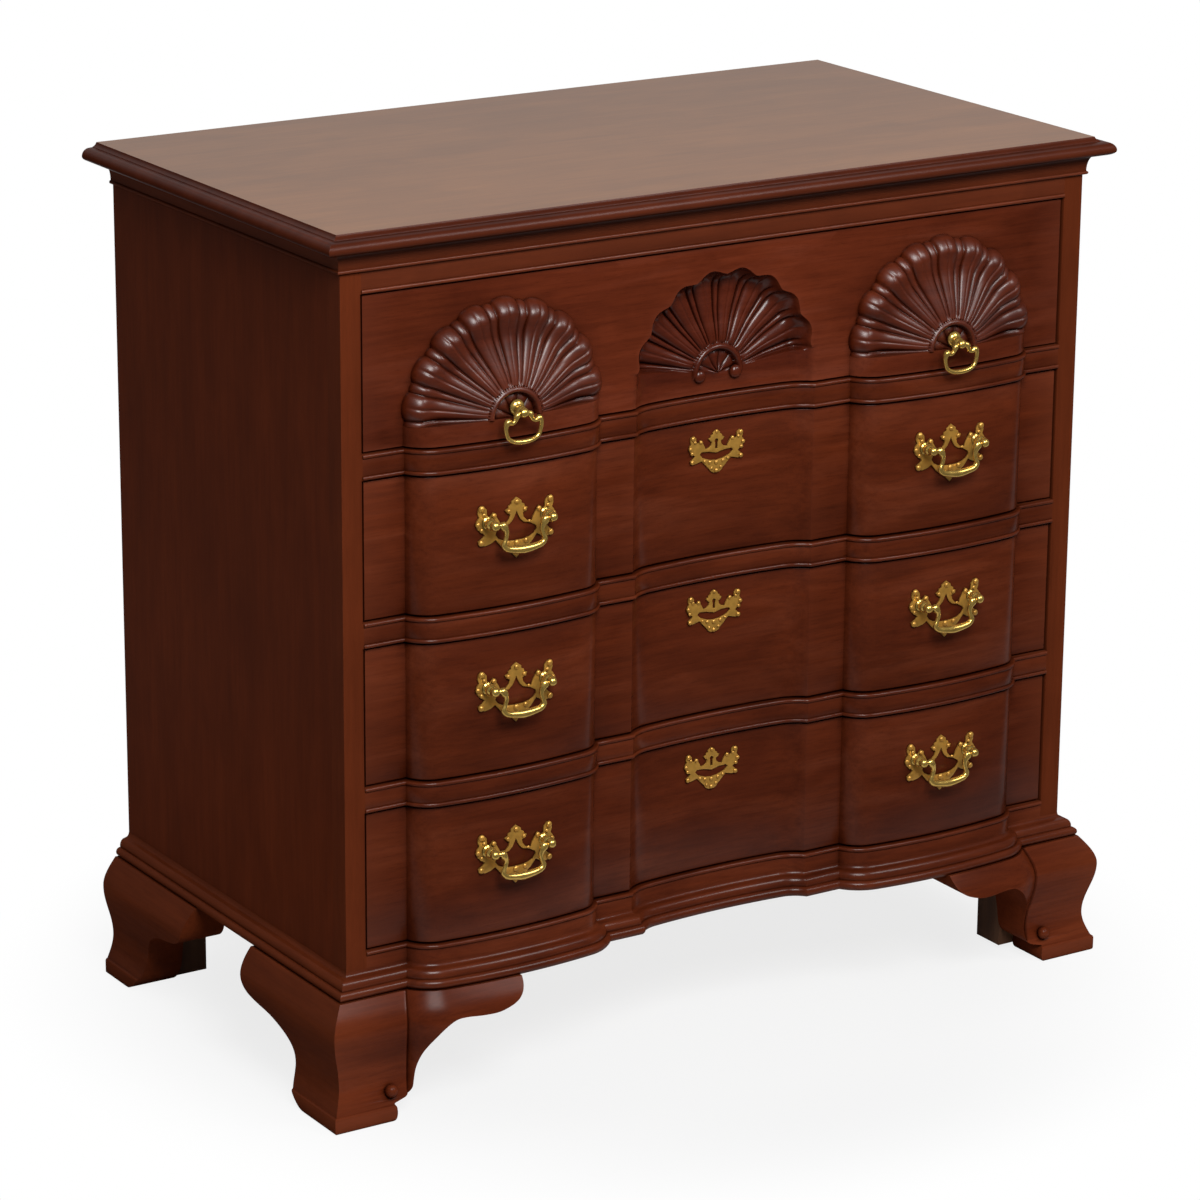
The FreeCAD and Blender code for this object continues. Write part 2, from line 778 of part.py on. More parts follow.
def dovetails(index):
    """Tails on the front end of a left drawer side, let into the back of the drawer front."""
    bottom_top_z = opening_bottoms[index] + run_gap + drawer_bottom_lift + drawer_bottom_thickness
    low = bottom_top_z + dovetail_foot_margin
    high = opening_tops[index] - drawer_side_drop - dovetail_head_margin
    pitch = (high - low) / dovetail_count
    gap = pitch * dovetail_gap_share
    end_y = drawer_front_back_y - dovetail_length
    tails = []
    for tail in range(dovetail_count):
        foot = low + pitch * tail + gap
        head = low + pitch * (tail + 1) - gap
        corners = [(end_y, foot), (end_y, head), (drawer_front_back_y, head - dovetail_splay),
                   (drawer_front_back_y, foot + dovetail_splay)]
        points = [Vector(-drawer_half, y, z) for y, z in corners]
        tails.append(bar(points, Vector(drawer_side_thickness, 0, 0)))
    return tails


def drawer_bottom(index):
    low = opening_bottoms[index] + run_gap + drawer_bottom_lift
    reach = drawer_inner_half + drawer_groove
    return box(-reach, reach, drawer_front_back_y - drawer_groove, drawer_end_y, low,
               low + drawer_bottom_thickness)


def drawer_back(index):
    low = opening_bottoms[index] + run_gap + drawer_bottom_lift + drawer_bottom_thickness
    high = opening_tops[index] - drawer_side_drop
    reach = drawer_inner_half + drawer_groove
    back_y = drawer_end_y - drawer_back_setback
    return box(-reach, reach, back_y - drawer_back_thickness, back_y, low, high)


def drawer_side(index):
    """Left drawer side, dovetailed into the front and grooved for the back and bottom."""
    low = opening_bottoms[index] + run_gap
    high = opening_tops[index] - drawer_side_drop
    side = box(-drawer_half, -drawer_inner_half, drawer_front_back_y, drawer_end_y, low, high)
    for tail in dovetails(index):
        side = side.fuse(tail)
    side = side.removeSplitter().cut(drawer_back(index)).cut(drawer_bottom(index))
    return one_solid(side)


def drawer_front(index):
    front = top_drawer_front() if index == 0 else blocked_front(index)
    for tail in dovetails(index):
        front = front.cut(tail).cut(mirrored(tail))
    return one_solid(front.cut(drawer_bottom(index)))


# --- Brasses -------------------------------------------------------------------------------------

def block_face_y():
    return drawer_front_y - block_out


def pull_plate():
    """Bat-wing plate, pierced in the middle behind its bail."""
    return plate_face(wing_outline, 1.0).cut(plate_face(middle_opening, 1.0))


def escutcheon_plate():
    """The same outline, smaller, with a crescent low down and a keyhole above it."""
    plate = plate_face(wing_outline, escutcheon_scale).cut(plate_face(crescent_opening, escutcheon_scale))
    half = keyhole_width / 2
    low = keyhole_top - keyhole_height
    return plate.cut(plate_face([(0.0, keyhole_top), (half, keyhole_top), (half, low), (0.0, low)], 1.0))


def plate_face(half, scale):
    """Closed face from the right half of a symmetrical outline."""
    right = [Vector(x * scale, 0, z * scale) for x, z in half]
    left = [Vector(-x * scale, 0, z * scale) for x, z in reversed(half) if x > 0]
    return flat_face(right + left)


def bent_plate(face, centre_x, centre_z, face_y, bend_radius, sign):
    """A plate pressed in three flats to the curve that carries it; sign is 1 on a block, -1 in the hollow."""
    turn = math.asin(plate_flat / bend_radius)
    spread = 1 / math.cos(turn) if sign > 0 else 1.0
    near, far = [], []
    for step in (-3, -1, 1, 3):
        for radius, row in ((bend_radius, near), (bend_radius + sign * plate_thickness, far)):
            reach = radius * spread
            x = centre_x + reach * math.sin(step * turn)
            y = face_y + sign * (bend_radius - reach * math.cos(step * turn))
            row.append(Vector(x, y, centre_z - saw_length))
    bend = bar(near + list(reversed(far)), Vector(0, 0, 2 * saw_length))
    blank = face.extrude(Vector(0, -2 * saw_clearance, 0))
    blank.translate(Vector(centre_x, face_y + saw_clearance, centre_z))
    return one_solid(blank.common(bend))


def post(x, z, base_y, reach):
    """Faceted post with a barrel head, pierced across for the bail's pins."""
    pivot_y = base_y - reach
    start_x = x - post_head_length / 2
    length = Vector(post_head_length, 0, 0)
    bore_reach = (pin_radius + pin_clearance) / math.cos(math.pi / post_sides)
    turns = [math.tau * corner / post_sides for corner in range(post_sides)]
    corners = [(math.cos(turn), math.sin(turn)) for turn in turns]
    stem = [Vector(x + post_radius * a, base_y, z + post_radius * b) for a, b in corners]
    head = [Vector(start_x, pivot_y + post_head_radius * a, z + post_head_radius * b) for a, b in corners]
    bore = [Vector(start_x, pivot_y + bore_reach * a, z + bore_reach * b) for a, b in corners]
    return bar(stem, Vector(0, -reach, 0)).fuse(bar(head, length)).cut(bar(bore, length))


def pull_z(index):
    """Height of a pull's two posts."""
    return (opening_bottoms[index] + opening_tops[index]) / 2 + pull_rise + post_rise


def pull_brasses(index):
    """Two pierced plates cast with their posts, and the escutcheon between them."""
    z = pull_z(index)
    face_y = block_face_y()
    bend_radius = block_crown_radius - drawer_inset
    plate = bent_plate(pull_plate(), -block_centre, z - post_rise, face_y, bend_radius, 1)
    for side in (-1, 1):
        x = -block_centre + side * pull_spacing / 2
        plate = plate.fuse(post(x, z, face_y, post_reach + plate_thickness))
    plate = one_solid(plate)
    middle = (opening_bottoms[index] + opening_tops[index]) / 2 + escutcheon_rise
    cover = bent_plate(escutcheon_plate(), 0.0, middle, drawer_front_y + hollow_in,
                       hollow_crown_radius + drawer_inset, -1)
    return [plate, mirrored(plate), cover]


def bow_section(before, here, after, half_width, half_depth):
    """Six-sided section where two straight lengths of a bail meet, set on their mitre."""
    first = here.sub(before).normalize()
    second = after.sub(here).normalize()
    across = Vector(0, 1, 0)
    lean = across.cross(first).add(across.cross(second))
    mitre = lean.multiply(2 / lean.dot(lean))
    points = []
    for corner in range(6):
        angle = math.pi * corner / 3
        out = Vector(mitre).multiply(half_width * math.cos(angle))
        points.append(here.add(out).add(Vector(0, half_depth * math.sin(angle), 0)))
    return points


def pin_section(place, reach):
    """Section of a bail's straight pin."""
    return bow_section(place.sub(reach), place, place.add(reach), pin_radius, pin_radius)


def bail(half_path, half_widths, pin_side, centre_x, pivot_y, pivot_z):
    """A cast bail from one half of its path, with a pin at each end that turns in a post.

    The pins point away from each other into two posts (1), or towards each other into one (-1).
    """
    path = half_path + [(-x, z) for x, z in reversed(half_path[:-1])]
    widths = half_widths + list(reversed(half_widths[:-1]))
    points = [Vector(centre_x + x, pivot_y, pivot_z + z) for x, z in path]
    reach = Vector(-pin_side * pin_length, 0, 0)
    run = [points[0].sub(reach)] + points + [points[-1].add(reach)]
    rings = [pin_section(place, reach) for place in run[:2]]
    for place, width in enumerate(widths):
        rings.append(bow_section(run[place], run[place + 1], run[place + 2], width, bail_half_depth))
    rings.extend(pin_section(place, reach) for place in run[-2:])
    return one_solid(faceted(rings))


def pull_bail(index):
    """Swelling swan-neck bail of a bat-wing pull, on the left block."""
    start = pull_spacing / 2 - post_head_length / 2 - bail_end_gap
    pivot_y = block_face_y() - plate_thickness - post_reach
    return bail([(start, 0.0)] + swan_path, swan_widths, 1, -block_centre, pivot_y, pull_z(index))


def drop_z():
    return shell_base_z() + drop_rise


def shell_face_y():
    return drawer_front_y - block_out * shell_levels[-1][1] - raised_rosette_rise


def drop_post():
    """Single post in the middle of the left shell's rosette."""
    return one_solid(post(-block_centre, drop_z(), shell_face_y(), drop_reach))


def drop_bail():
    """Stirrup-shaped drop, whose two pins enter one post from both sides."""
    start = post_head_length / 2 + bail_end_gap
    pivot_y = shell_face_y() - drop_reach
    return bail([(start, 0.0)] + stirrup_path, stirrup_widths, -1, -block_centre, pivot_y, drop_z())


# --- Write every node ------------------------------------------------------------------------------

def write_carcase():
    save("top_board", top_board())
    front, left, right = cove_mouldings()
    save("top_moulding_front", front)
    save("top_moulding_left", left)
    save("top_moulding_right", right)
    panel = one_solid(side_panel())
    save("side_panel_left", panel)
    save("side_panel_right", mirrored(panel))
    edge = one_solid(stile())
    save("stile_left", edge)
    save("stile_right", mirrored(edge))
    save("top_rail", one_solid(top_rail_solid()))
    for number, low in enumerate(opening_bottoms[:-1], 1):
        save("divider_rail_" + str(number), one_solid(divider_solid(low - divider_height, low)))
    save("bottom_rail", one_solid(bottom_rail_solid()))
    save("back_panel", back_panel())
    save("bottom_board", bottom_board())
    save("drawer_runners", *runners())
    save("drawer_kickers", *kickers())
    save("drawer_guides", *guides())
    save("rear_rails", *rear_rails())
    save("dust_panels", *dust_panels())
    save("drawer_stops", *drawer_stops())


def write_base():
    front, left, right = base_mouldings()
    save("base_moulding_front", front)
    save("base_moulding_left", left)
    save("base_moulding_right", right)
    face, front_side, rear_side = left_brackets()
    save("foot_front_left_face", face)
    save("foot_front_right_face", mirrored(face))
    save("foot_front_left_side", front_side)
    save("foot_front_right_side", mirrored(front_side))
    save("foot_rear_left_side", rear_side)
    save("foot_rear_right_side", mirrored(rear_side))
    save("foot_rear_left_back", rear_bracket())
    save("foot_rear_right_back", mirrored(rear_bracket()))
    save("foot_glue_blocks", *glue_blocks())


def write_drawers():
    for index in range(len(opening_heights)):
        name = "drawer_" + str(index + 1)
        save(name + "_front", drawer_front(index))
        side = drawer_side(index)
        save(name + "_box", side, mirrored(side), drawer_back(index))
        save(name + "_bottom", drawer_bottom(index))
    shell = raised_shell()
    save("drawer_1_shell_left", shell)
    save("drawer_1_shell_right", mirrored(shell))


def write_brasses():
    left_post = drop_post()
    save("drawer_1_brasses", left_post, mirrored(left_post))
    left_drop = drop_bail()
    save("drawer_1_bail_left", left_drop)
    save("drawer_1_bail_right", mirrored(left_drop))
    for index in range(1, len(opening_heights)):
        name = "drawer_" + str(index + 1)
        save(name + "_brasses", *pull_brasses(index))
        left_bail = pull_bail(index)
        save(name + "_bail_left", left_bail)
        save(name + "_bail_right", mirrored(left_bail))


os.makedirs("parts", exist_ok=True)
write_carcase()
write_base()
write_drawers()
write_brasses()
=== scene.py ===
import math

import bmesh
import bpy
from mathutils import Matrix, Quaternion, Vector


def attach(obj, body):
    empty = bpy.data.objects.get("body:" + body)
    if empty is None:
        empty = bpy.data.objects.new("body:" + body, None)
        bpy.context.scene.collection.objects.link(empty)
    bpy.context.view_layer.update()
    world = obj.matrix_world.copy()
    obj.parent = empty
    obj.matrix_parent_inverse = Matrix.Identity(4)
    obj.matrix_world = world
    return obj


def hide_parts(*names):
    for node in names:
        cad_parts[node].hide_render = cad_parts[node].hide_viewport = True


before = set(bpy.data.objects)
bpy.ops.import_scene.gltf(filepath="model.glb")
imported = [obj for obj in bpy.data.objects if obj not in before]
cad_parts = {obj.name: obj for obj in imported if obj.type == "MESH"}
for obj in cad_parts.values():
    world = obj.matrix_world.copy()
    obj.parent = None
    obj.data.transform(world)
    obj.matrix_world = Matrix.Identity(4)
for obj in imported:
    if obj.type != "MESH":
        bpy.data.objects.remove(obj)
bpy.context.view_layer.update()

# Shapes below are worked in millimetres in the chest's own frame and brought to metres as each
# piece is finished: +Z is up, the drawers open towards -Y, and the origin is on the floor.

# --- Show wood: side panels -----------------------------------------------------------------------
# Dark mahogany with a satin lacquer over a brown glaze, which is rubbed thin on edges. Hollows, creases and
# joints are painted darker, partly for glaze gathered there and mostly as painted shade. The two side panels
# are plain boards with the grain upright.
grain_turns = {"x": (0.0, 0.0, 0.0), "y": (0.0, 0.0, math.radians(90)), "z": (0.0, math.radians(90), 0.0)}


def new_finish(name):
    """A blank material, with its node tree and its surface."""
    material = bpy.data.materials.new(name)
    material.use_nodes = True
    return material, material.node_tree, material.node_tree.nodes["Principled BSDF"]


def give(tree, socket, value):
    """Give a socket a plain value, or join another node's output to it."""
    if isinstance(value, bpy.types.NodeSocket):
        tree.links.new(value, socket)
    else:
        socket.default_value = value


def fill(tree, node, **values):
    """Fill a node's sockets by their names."""
    for key, value in values.items():
        give(tree, node.inputs[key.replace("_", " ")], value)


def shader_node(tree, kind, **settings):
    """One node; a setting is one of its properties, or else fills the socket of that name."""
    node = tree.nodes.new(kind)
    for key, value in settings.items():
        if hasattr(node, key):
            setattr(node, key, value)
        else:
            fill(tree, node, **{key: value})
    return node


def worked_out(tree, operation, *terms):
    """One step of arithmetic on sockets or plain values."""
    node = shader_node(tree, "ShaderNodeMath", operation=operation)
    for socket, term in zip(node.inputs, terms):
        give(tree, socket, term)
    return node.outputs["Value"]


def rescaled(tree, source, low, high, first=0.0, last=1.0, curve="LINEAR"):
    """A value that goes from first to last while its source goes from low to high."""
    node = shader_node(tree, "ShaderNodeMapRange", interpolation_type=curve, Value=source, From_Min=low,
                       From_Max=high, To_Min=first, To_Max=last)
    return node.outputs["Result"]


def ramp(tree, source, stops):
    """A colour ramp over a value, from (place, colour) stops."""
    node = shader_node(tree, "ShaderNodeValToRGB", Fac=source)
    elements = node.color_ramp.elements
    while len(elements) < len(stops):
        elements.new(0.5)
    for element, (place, colour) in zip(elements, stops):
        element.position = place
        element.color = (*colour, 1.0)
    return node.outputs["Color"]


def mixed(tree, blend, factor, first, second):
    """Two colours blended; each value may be a socket or plain."""
    node = shader_node(tree, "ShaderNodeMix", data_type="RGBA", blend_type=blend)
    for place, value in ((0, factor), (6, first), (7, second)):
        give(tree, node.inputs[place], value)
    return node.outputs[2]


def axes_of(tree, source):
    """A place or a direction split into X, Y and Z."""
    return shader_node(tree, "ShaderNodeSeparateXYZ", Vector=source).outputs


def object_place(tree):
    """Where a point lies on the object."""
    return shader_node(tree, "ShaderNodeTexCoord").outputs["Object"]


def grain_space(tree, along, place=(0.0, 0.0, 0.0)):
    """Object coordinates turned so that the grain runs along their first axis."""
    turn = shader_node(tree, "ShaderNodeMapping", Vector=object_place(tree), Location=place,
                       Rotation=grain_turns[along])
    return turn.outputs["Vector"]


def streaks(tree, space, length, width, detail, roughness=0.6, distortion=0.0):
    """Noise drawn out along the grain; length and width in metres."""
    stretch = shader_node(tree, "ShaderNodeMapping", Vector=space, Scale=(1 / length, 1 / width, 1 / width))
    noise = shader_node(tree, "ShaderNodeTexNoise", Vector=stretch.outputs["Vector"], Scale=1.0,
                        Detail=detail, Roughness=roughness, Distortion=distortion)
    return noise.outputs["Fac"]


def lacquered_mahogany(name, along, dark, middle, light, coat=0.16, roughness=0.42, gloss=0.24,
                       place=(0.0, 0.0, 0.0)):
    """Mahogany with ribbon figure, fine pores, glaze and painted shade in hollows, rubbed edges and clear
    lacquer.
    """
    material, tree, surface = new_finish(name)
    space = grain_space(tree, along, place)
    figure = streaks(tree, space, 0.26, 0.036, 4.0, 0.55, 0.6)
    lines = streaks(tree, space, 0.075, 0.0042, 5.0, 0.6, 0.4)
    pores = streaks(tree, space, 0.011, 0.0006, 2.0)
    clouds = streaks(tree, space, 0.10, 0.055, 3.0, 0.5, 0.8)
    hollows = shader_node(tree, "ShaderNodeAmbientOcclusion", samples=6, Distance=0.020).outputs["AO"]
    lined = ramp(tree, lines, [(0.32, (0.74, 0.72, 0.74)), (0.55, (1.0, 1.0, 1.0)),
                               (0.75, (1.14, 1.12, 1.06))])
    pored = ramp(tree, pores, [(0.34, (0.62, 0.58, 0.58)), (0.43, (1.0, 1.0, 1.0))])
    mottled = ramp(tree, clouds, [(0.32, (0.76, 0.72, 0.72)), (0.62, (1.06, 1.05, 1.04))])
    # Painted shade: ambient occlusion darkens the colour strongly in hollows, creases and between parts,
    # partly glaze and mostly shade; it thins the coat there too.
    glaze_and_shade = ramp(tree, hollows, [(0.30, (0.08, 0.06, 0.06)), (0.84, (1.0, 1.0, 1.0))])
    colour = ramp(tree, figure, [(0.32, dark), (0.52, middle), (0.70, light)])
    for share, layer in ((0.8, lined), (0.5, pored), (0.8, mottled), (0.9, glaze_and_shade)):
        colour = mixed(tree, "MULTIPLY", share, colour, layer)
    shape = shader_node(tree, "ShaderNodeNewGeometry").outputs
    rubbed = ramp(tree, shape["Pointiness"], [(0.53, (0.0, 0.0, 0.0)), (0.62, (1.0, 1.0, 1.0))])
    worn = mixed(tree, "MIX", rubbed, colour, (light[0] * 1.5, light[1] * 1.7, light[2] * 1.9, 1.0))
    sheen = streaks(tree, space, 0.09, 0.03, 3.0)
    relief = shader_node(tree, "ShaderNodeBump", Strength=0.08, Distance=0.0003, Height=pores)
    wave = shader_node(tree, "ShaderNodeBump", Strength=0.08, Distance=0.0015, Height=figure,
                       Normal=relief.outputs["Normal"])
    sideways = worked_out(tree, "ABSOLUTE", axes_of(tree, shape["Normal"])["X"])
    lacquer = rescaled(tree, sideways, 0.65, 0.97, coat, 0.03)
    fill(tree, surface, Base_Color=mixed(tree, "MIX", 0.35, colour, worn),
         Roughness=rescaled(tree, sheen, 0.0, 1.0, roughness - 0.06, roughness + 0.08),
         Normal=wave.outputs["Normal"], Specular_IOR_Level=0.0, Coat_Roughness=gloss,
         Coat_Weight=worked_out(tree, "MULTIPLY", lacquer, glaze_and_shade))
    return material


def dressed(node_name, material):
    """A CAD node that shows as it is, in its finish."""
    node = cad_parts[node_name]
    node.data.materials.clear()
    node.data.materials.append(material)


side_wood = lacquered_mahogany("side_mahogany", "z", (0.064, 0.0115, 0.0036), (0.084, 0.0148, 0.0044),
                               (0.102, 0.0185, 0.0054), coat=0.03, roughness=0.48)
for side in ("left", "right"):
    dressed("side_panel_" + side, side_wood)


# --- Inner wood: back, bottom, frames and drawer boxes --------------------------------------------
# Poplar and pine left bare inside the chest: the framed dust panels, runners and stops, the
# dovetailed drawer boxes, and the back, which is stained brown outside.
def bare_wood(name, along, dark, light, roughness=0.62):
    """Planed softwood with growth lines and a few darker streaks."""
    material, tree, surface = new_finish(name)
    space = grain_space(tree, along)
    figure = streaks(tree, space, 0.5, 0.03, 4.0, 0.55, 0.8)
    lines = streaks(tree, space, 0.2, 0.0022, 5.0)
    body = ramp(tree, figure, [(0.32, dark), (0.7, light)])
    lined = ramp(tree, lines, [(0.3, (0.78, 0.72, 0.66)), (0.62, (1.0, 1.0, 1.0))])
    relief = shader_node(tree, "ShaderNodeBump", Strength=0.25, Distance=0.0004, Height=lines)
    fill(tree, surface, Base_Color=mixed(tree, "MULTIPLY", 0.8, body, lined),
         Roughness=rescaled(tree, figure, 0.0, 1.0, roughness - 0.08, roughness + 0.08),
         Normal=relief.outputs["Normal"], Specular_IOR_Level=0.3)
    return material


pale_dark = (0.36, 0.215, 0.105)
pale_light = (0.56, 0.375, 0.205)
stained_dark = (0.055, 0.022, 0.010)
stained_light = (0.11, 0.048, 0.022)
frame_wood = bare_wood("frame_poplar", "y", pale_dark, pale_light)
cross_wood = bare_wood("cross_poplar", "x", pale_dark, pale_light)
stained_wood = bare_wood("stained_pine", "z", stained_dark, stained_light)
for node_name in ("drawer_runners", "drawer_kickers", "drawer_guides", "drawer_stops"):
    dressed(node_name, frame_wood)
for node_name in ("rear_rails", "dust_panels", "bottom_board"):
    dressed(node_name, cross_wood)
for node_name in ("back_panel", "foot_glue_blocks", "foot_rear_left_back", "foot_rear_right_back"):
    dressed(node_name, stained_wood)
for number in (1, 2, 3, 4):
    dressed("drawer_%d_box" % number, frame_wood)
    dressed("drawer_%d_bottom" % number, cross_wood)


# --- Front frame: top rail, three dividers, bottom rail and stiles --------------------------------
# Mahogany rails whose front edges follow the blocking, a raised block on each side of a hollow,
# with a half-round bead along each opening. The stiles' edges beside the drawers are just eased.
case_half = 430.5
case_front_y = -209.4
case_back_y = 247.6
rail_back_y = -129.4
side_inner = 411.5
opening_half = 408.0
stile_depth = 24.0
foot_top_z = 127.0
case_top_z = 857.0
opening_bottoms = [662.4, 498.2, 334.0, 168.0]
opening_tops = [815.2, 637.4, 473.2, 309.0]
block_centre = 255.5
block_shape = {"half_width": 108.0, "depth": 26.0, "crown": 600.0, "side": 34.0}
hollow_shape = {"half_width": 105.0, "depth": 16.0, "crown": 800.0, "side": 45.0}
bead_half = 2.1
bead_out = 1.9
bead_back = 4.6
edge_strip = 6.0
divider_height = 25.0
top_rail_depth = 22.0

front_wood = lacquered_mahogany("front_mahogany", "x", (0.068, 0.0122, 0.0038), (0.088, 0.0160, 0.0048),
                                (0.110, 0.0226, 0.0080), coat=0.40)
upright_wood = lacquered_mahogany("stile_mahogany", "z", (0.062, 0.0115, 0.0036), (0.080, 0.0148, 0.0045),
                                  (0.100, 0.0190, 0.0058), coat=0.06, place=(0.3, 0.1, 0.7))


def bow_side(shape):
    """Centre of the tight arc at a bow's left side, from the bow's centre on the flat."""
    crown_y = shape["depth"] - shape["crown"]
    reach = shape["crown"] - shape["side"]
    width = shape["half_width"]
    half_sum = (shape["side"] ** 2 + width ** 2 + crown_y ** 2 - reach ** 2) / 2
    square = crown_y ** 2 + width ** 2
    root = (half_sum * width) ** 2 - square * (half_sum ** 2 - (shape["side"] * crown_y) ** 2)
    side_x = (half_sum * width + math.sqrt(root)) / square
    return side_x - width, (half_sum - width * side_x) / crown_y


def bow_line(shape, offset, side_steps=9, crown_steps=14):
    """One block or hollow in plan, as (along, out) points, moved outwards by an offset."""
    centre_x, centre_y = bow_side(shape)
    crown_y = shape["depth"] - shape["crown"]
    radius = shape["side"] + offset
    start = math.atan2(offset - centre_y, -math.sqrt(radius ** 2 - (offset - centre_y) ** 2))
    lean = math.atan2(centre_y - crown_y, centre_x)
    left = []
    for step in range(side_steps):
        angle = start + (lean - start) * step / side_steps
        left.append((centre_x + radius * math.cos(angle), centre_y + radius * math.sin(angle)))
    crown = []
    for step in range(crown_steps + 1):
        angle = lean + (math.pi - 2 * lean) * step / crown_steps
        reach = shape["crown"] + offset
        crown.append((reach * math.cos(angle), crown_y + reach * math.sin(angle)))
    return left + crown + [(-along, out) for along, out in reversed(left)]


def front_line(offset, half_width):
    """The whole blocked front in plan from left to right, as (x, y) points."""
    points = [(-half_width, case_front_y - offset)]
    points.extend((along - block_centre, case_front_y - out) for along, out in bow_line(block_shape, offset))
    points.extend((along, case_front_y + out) for along, out in bow_line(hollow_shape, -offset))
    points.extend((along + block_centre, case_front_y - out) for along, out in bow_line(block_shape, offset))
    points.append((half_width, case_front_y - offset))
    return points


def patch(columns, rows, place):
    """A sheet of columns x rows corners, each put where place(column, row) says."""
    mesh = bmesh.new()
    bmesh.ops.create_grid(mesh, x_segments=columns - 1, y_segments=rows - 1, size=1.0)
    for corner in mesh.verts:
        column = round((corner.co.x + 1) / 2 * (columns - 1))
        row = round((corner.co.y + 1) / 2 * (rows - 1))
        corner.co = place(column, row)
    return mesh


def closed(mesh):
    """Weld the seams and cap every open end."""
    bmesh.ops.remove_doubles(mesh, verts=mesh.verts, dist=0.002)
    bmesh.ops.dissolve_degenerate(mesh, edges=mesh.edges, dist=0.002)
    open_edges = [edge for edge in mesh.edges if edge.is_boundary]
    if open_edges:
        bmesh.ops.holes_fill(mesh, edges=open_edges, sides=0)
    bmesh.ops.recalc_face_normals(mesh, faces=mesh.faces)
    return mesh


def stacked(rings):
    """A solid whose walls join each ring of points to the next one."""
    around = len(rings[0])
    return closed(patch(around + 1, len(rings), lambda column, row: rings[row][column % around]))


def block(x0, x1, y0, y1, z0, z1):
    """A squared length of wood between two corners."""
    mesh = bmesh.new()
    size = Matrix.Diagonal((x1 - x0, y1 - y0, z1 - z0, 1.0))
    place = Matrix.Translation(((x0 + x1) / 2, (y0 + y1) / 2, (z0 + z1) / 2))
    bmesh.ops.create_cube(mesh, size=1.0, matrix=place @ size)
    return mesh


def joined(meshes):
    """Several shapes as one mesh."""
    whole = bmesh.new()
    for mesh in meshes:
        data = bpy.data.meshes.new("part")
        mesh.to_mesh(data)
        mesh.free()
        whole.from_mesh(data)
        bpy.data.meshes.remove(data)
    return whole


def finished(mesh, name, body, material, replaced, crease=32.0):
    """Bring a shape to metres, shade it, and hang it on its body in place of its solids."""
    bmesh.ops.scale(mesh, vec=(0.001, 0.001, 0.001), verts=mesh.verts)
    data = bpy.data.meshes.new(name)
    mesh.to_mesh(data)
    mesh.free()
    data.shade_smooth()
    data.set_sharp_from_angle(angle=math.radians(crease))
    data.materials.append(material)
    piece = bpy.data.objects.new(name, data)
    bpy.context.scene.collection.objects.link(piece)
    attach(piece, body)
    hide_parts(*replaced)


def bead(steps=7):
    """Rounded bead with a fine line behind it, as (out, distance in from the edge)."""
    points = []
    for step in range(steps + 1):
        angle = math.pi * step / steps
        points.append((bead_out * math.sin(angle) - 0.2, bead_half - bead_half * math.cos(angle)))
    return points + [(0.0, bead_back)]


def blocked(profile, half_width, back_y):
    """A rail whose front follows the blocking, from (offset, height) points."""
    rings = []
    for offset, z in profile:
        front = [(x, y, z) for x, y in front_line(offset, half_width)]
        rings.append(front + [(half_width, back_y, z), (-half_width, back_y, z)])
    return stacked(rings)


def straight(section, start, length):
    """A straight bar of one section, carried from a start point along a length."""
    start, length = Vector(start), Vector(length)
    near = [start + Vector(point) for point in section]
    return stacked([near, [point + length for point in near]])


for number, high in enumerate(opening_bottoms[:-1], 1):
    low = high - divider_height
    profile = [(out, low + across) for out, across in bead()]
    profile.extend((out, high - across) for out, across in reversed(bead()))
    rail = blocked(profile, opening_half, rail_back_y)
    finished(rail, "divider_%d" % number, "chest_case", front_wood, ["divider_rail_%d" % number])


def upright(sign, near, far, front, back, low, high):
    """A squared length of a stile, between two distances from the middle and from the front."""
    first, last = sorted((sign * near, sign * far))
    return block(first, last, case_front_y + front, case_front_y + back, low, high)


rail_top_z = opening_bottoms[3]
profile = [(0.0, foot_top_z)] + [(out, rail_top_z - across) for out, across in reversed(bead())]
rail = blocked(profile, opening_half, rail_back_y)
finished(rail, "blocked_bottom_rail", "chest_case", front_wood, ["bottom_rail"])
ends = [upright(sign, opening_half, case_half, 0.0, stile_depth, foot_top_z, rail_top_z) for sign in (1, -1)]
finished(joined(ends), "stile_feet", "chest_case", upright_wood, ["bottom_rail"])

low = opening_tops[0]
section = [(0, case_front_y - out, low + across) for out, across in bead()]
section += [(0, case_front_y, case_top_z), (0, case_front_y + top_rail_depth, case_top_z),
            (0, case_front_y + top_rail_depth, low)]
rail = straight(section, (-opening_half, 0, 0), (2 * opening_half, 0, 0))
finished(rail, "beaded_top_rail", "chest_case", front_wood, ["top_rail"])
ends = [upright(sign, opening_half, case_half, 0.0, top_rail_depth, low, case_top_z) for sign in (1, -1)]
finished(joined(ends), "stile_heads", "chest_case", upright_wood, ["top_rail"])

eased_edge = [(-3.0, 0.0), (-1.5, 0.15), (-0.6, 0.7), (-0.15, 1.6), (0.0, 2.8), (0.0, bead_back),
              (-edge_strip, bead_back), (-edge_strip, 0.0)]
for side, sign in (("left", -1), ("right", 1)):
    lengths = []
    for low, high in zip(opening_bottoms, opening_tops):
        section = [(sign * (opening_half + across), case_front_y - out, 0) for out, across in eased_edge]
        lengths.append(straight(section, (0, 0, low), (0, 0, high - low)))
    inner, outer = opening_half, opening_half + bead_back
    lengths.append(upright(sign, outer, case_half, 0.0, stile_depth, rail_top_z, opening_tops[0]))
    lengths.append(upright(sign, inner, outer, edge_strip - 1.0, stile_depth, rail_top_z, opening_tops[0]))
    for high in opening_bottoms[:-1]:
        lengths.append(upright(sign, inner, outer, 0.0, edge_strip, high - divider_height, high))
    finished(joined(lengths), "beaded_stile_" + side, "chest_case", upright_wood,
             ["stile_" + side])


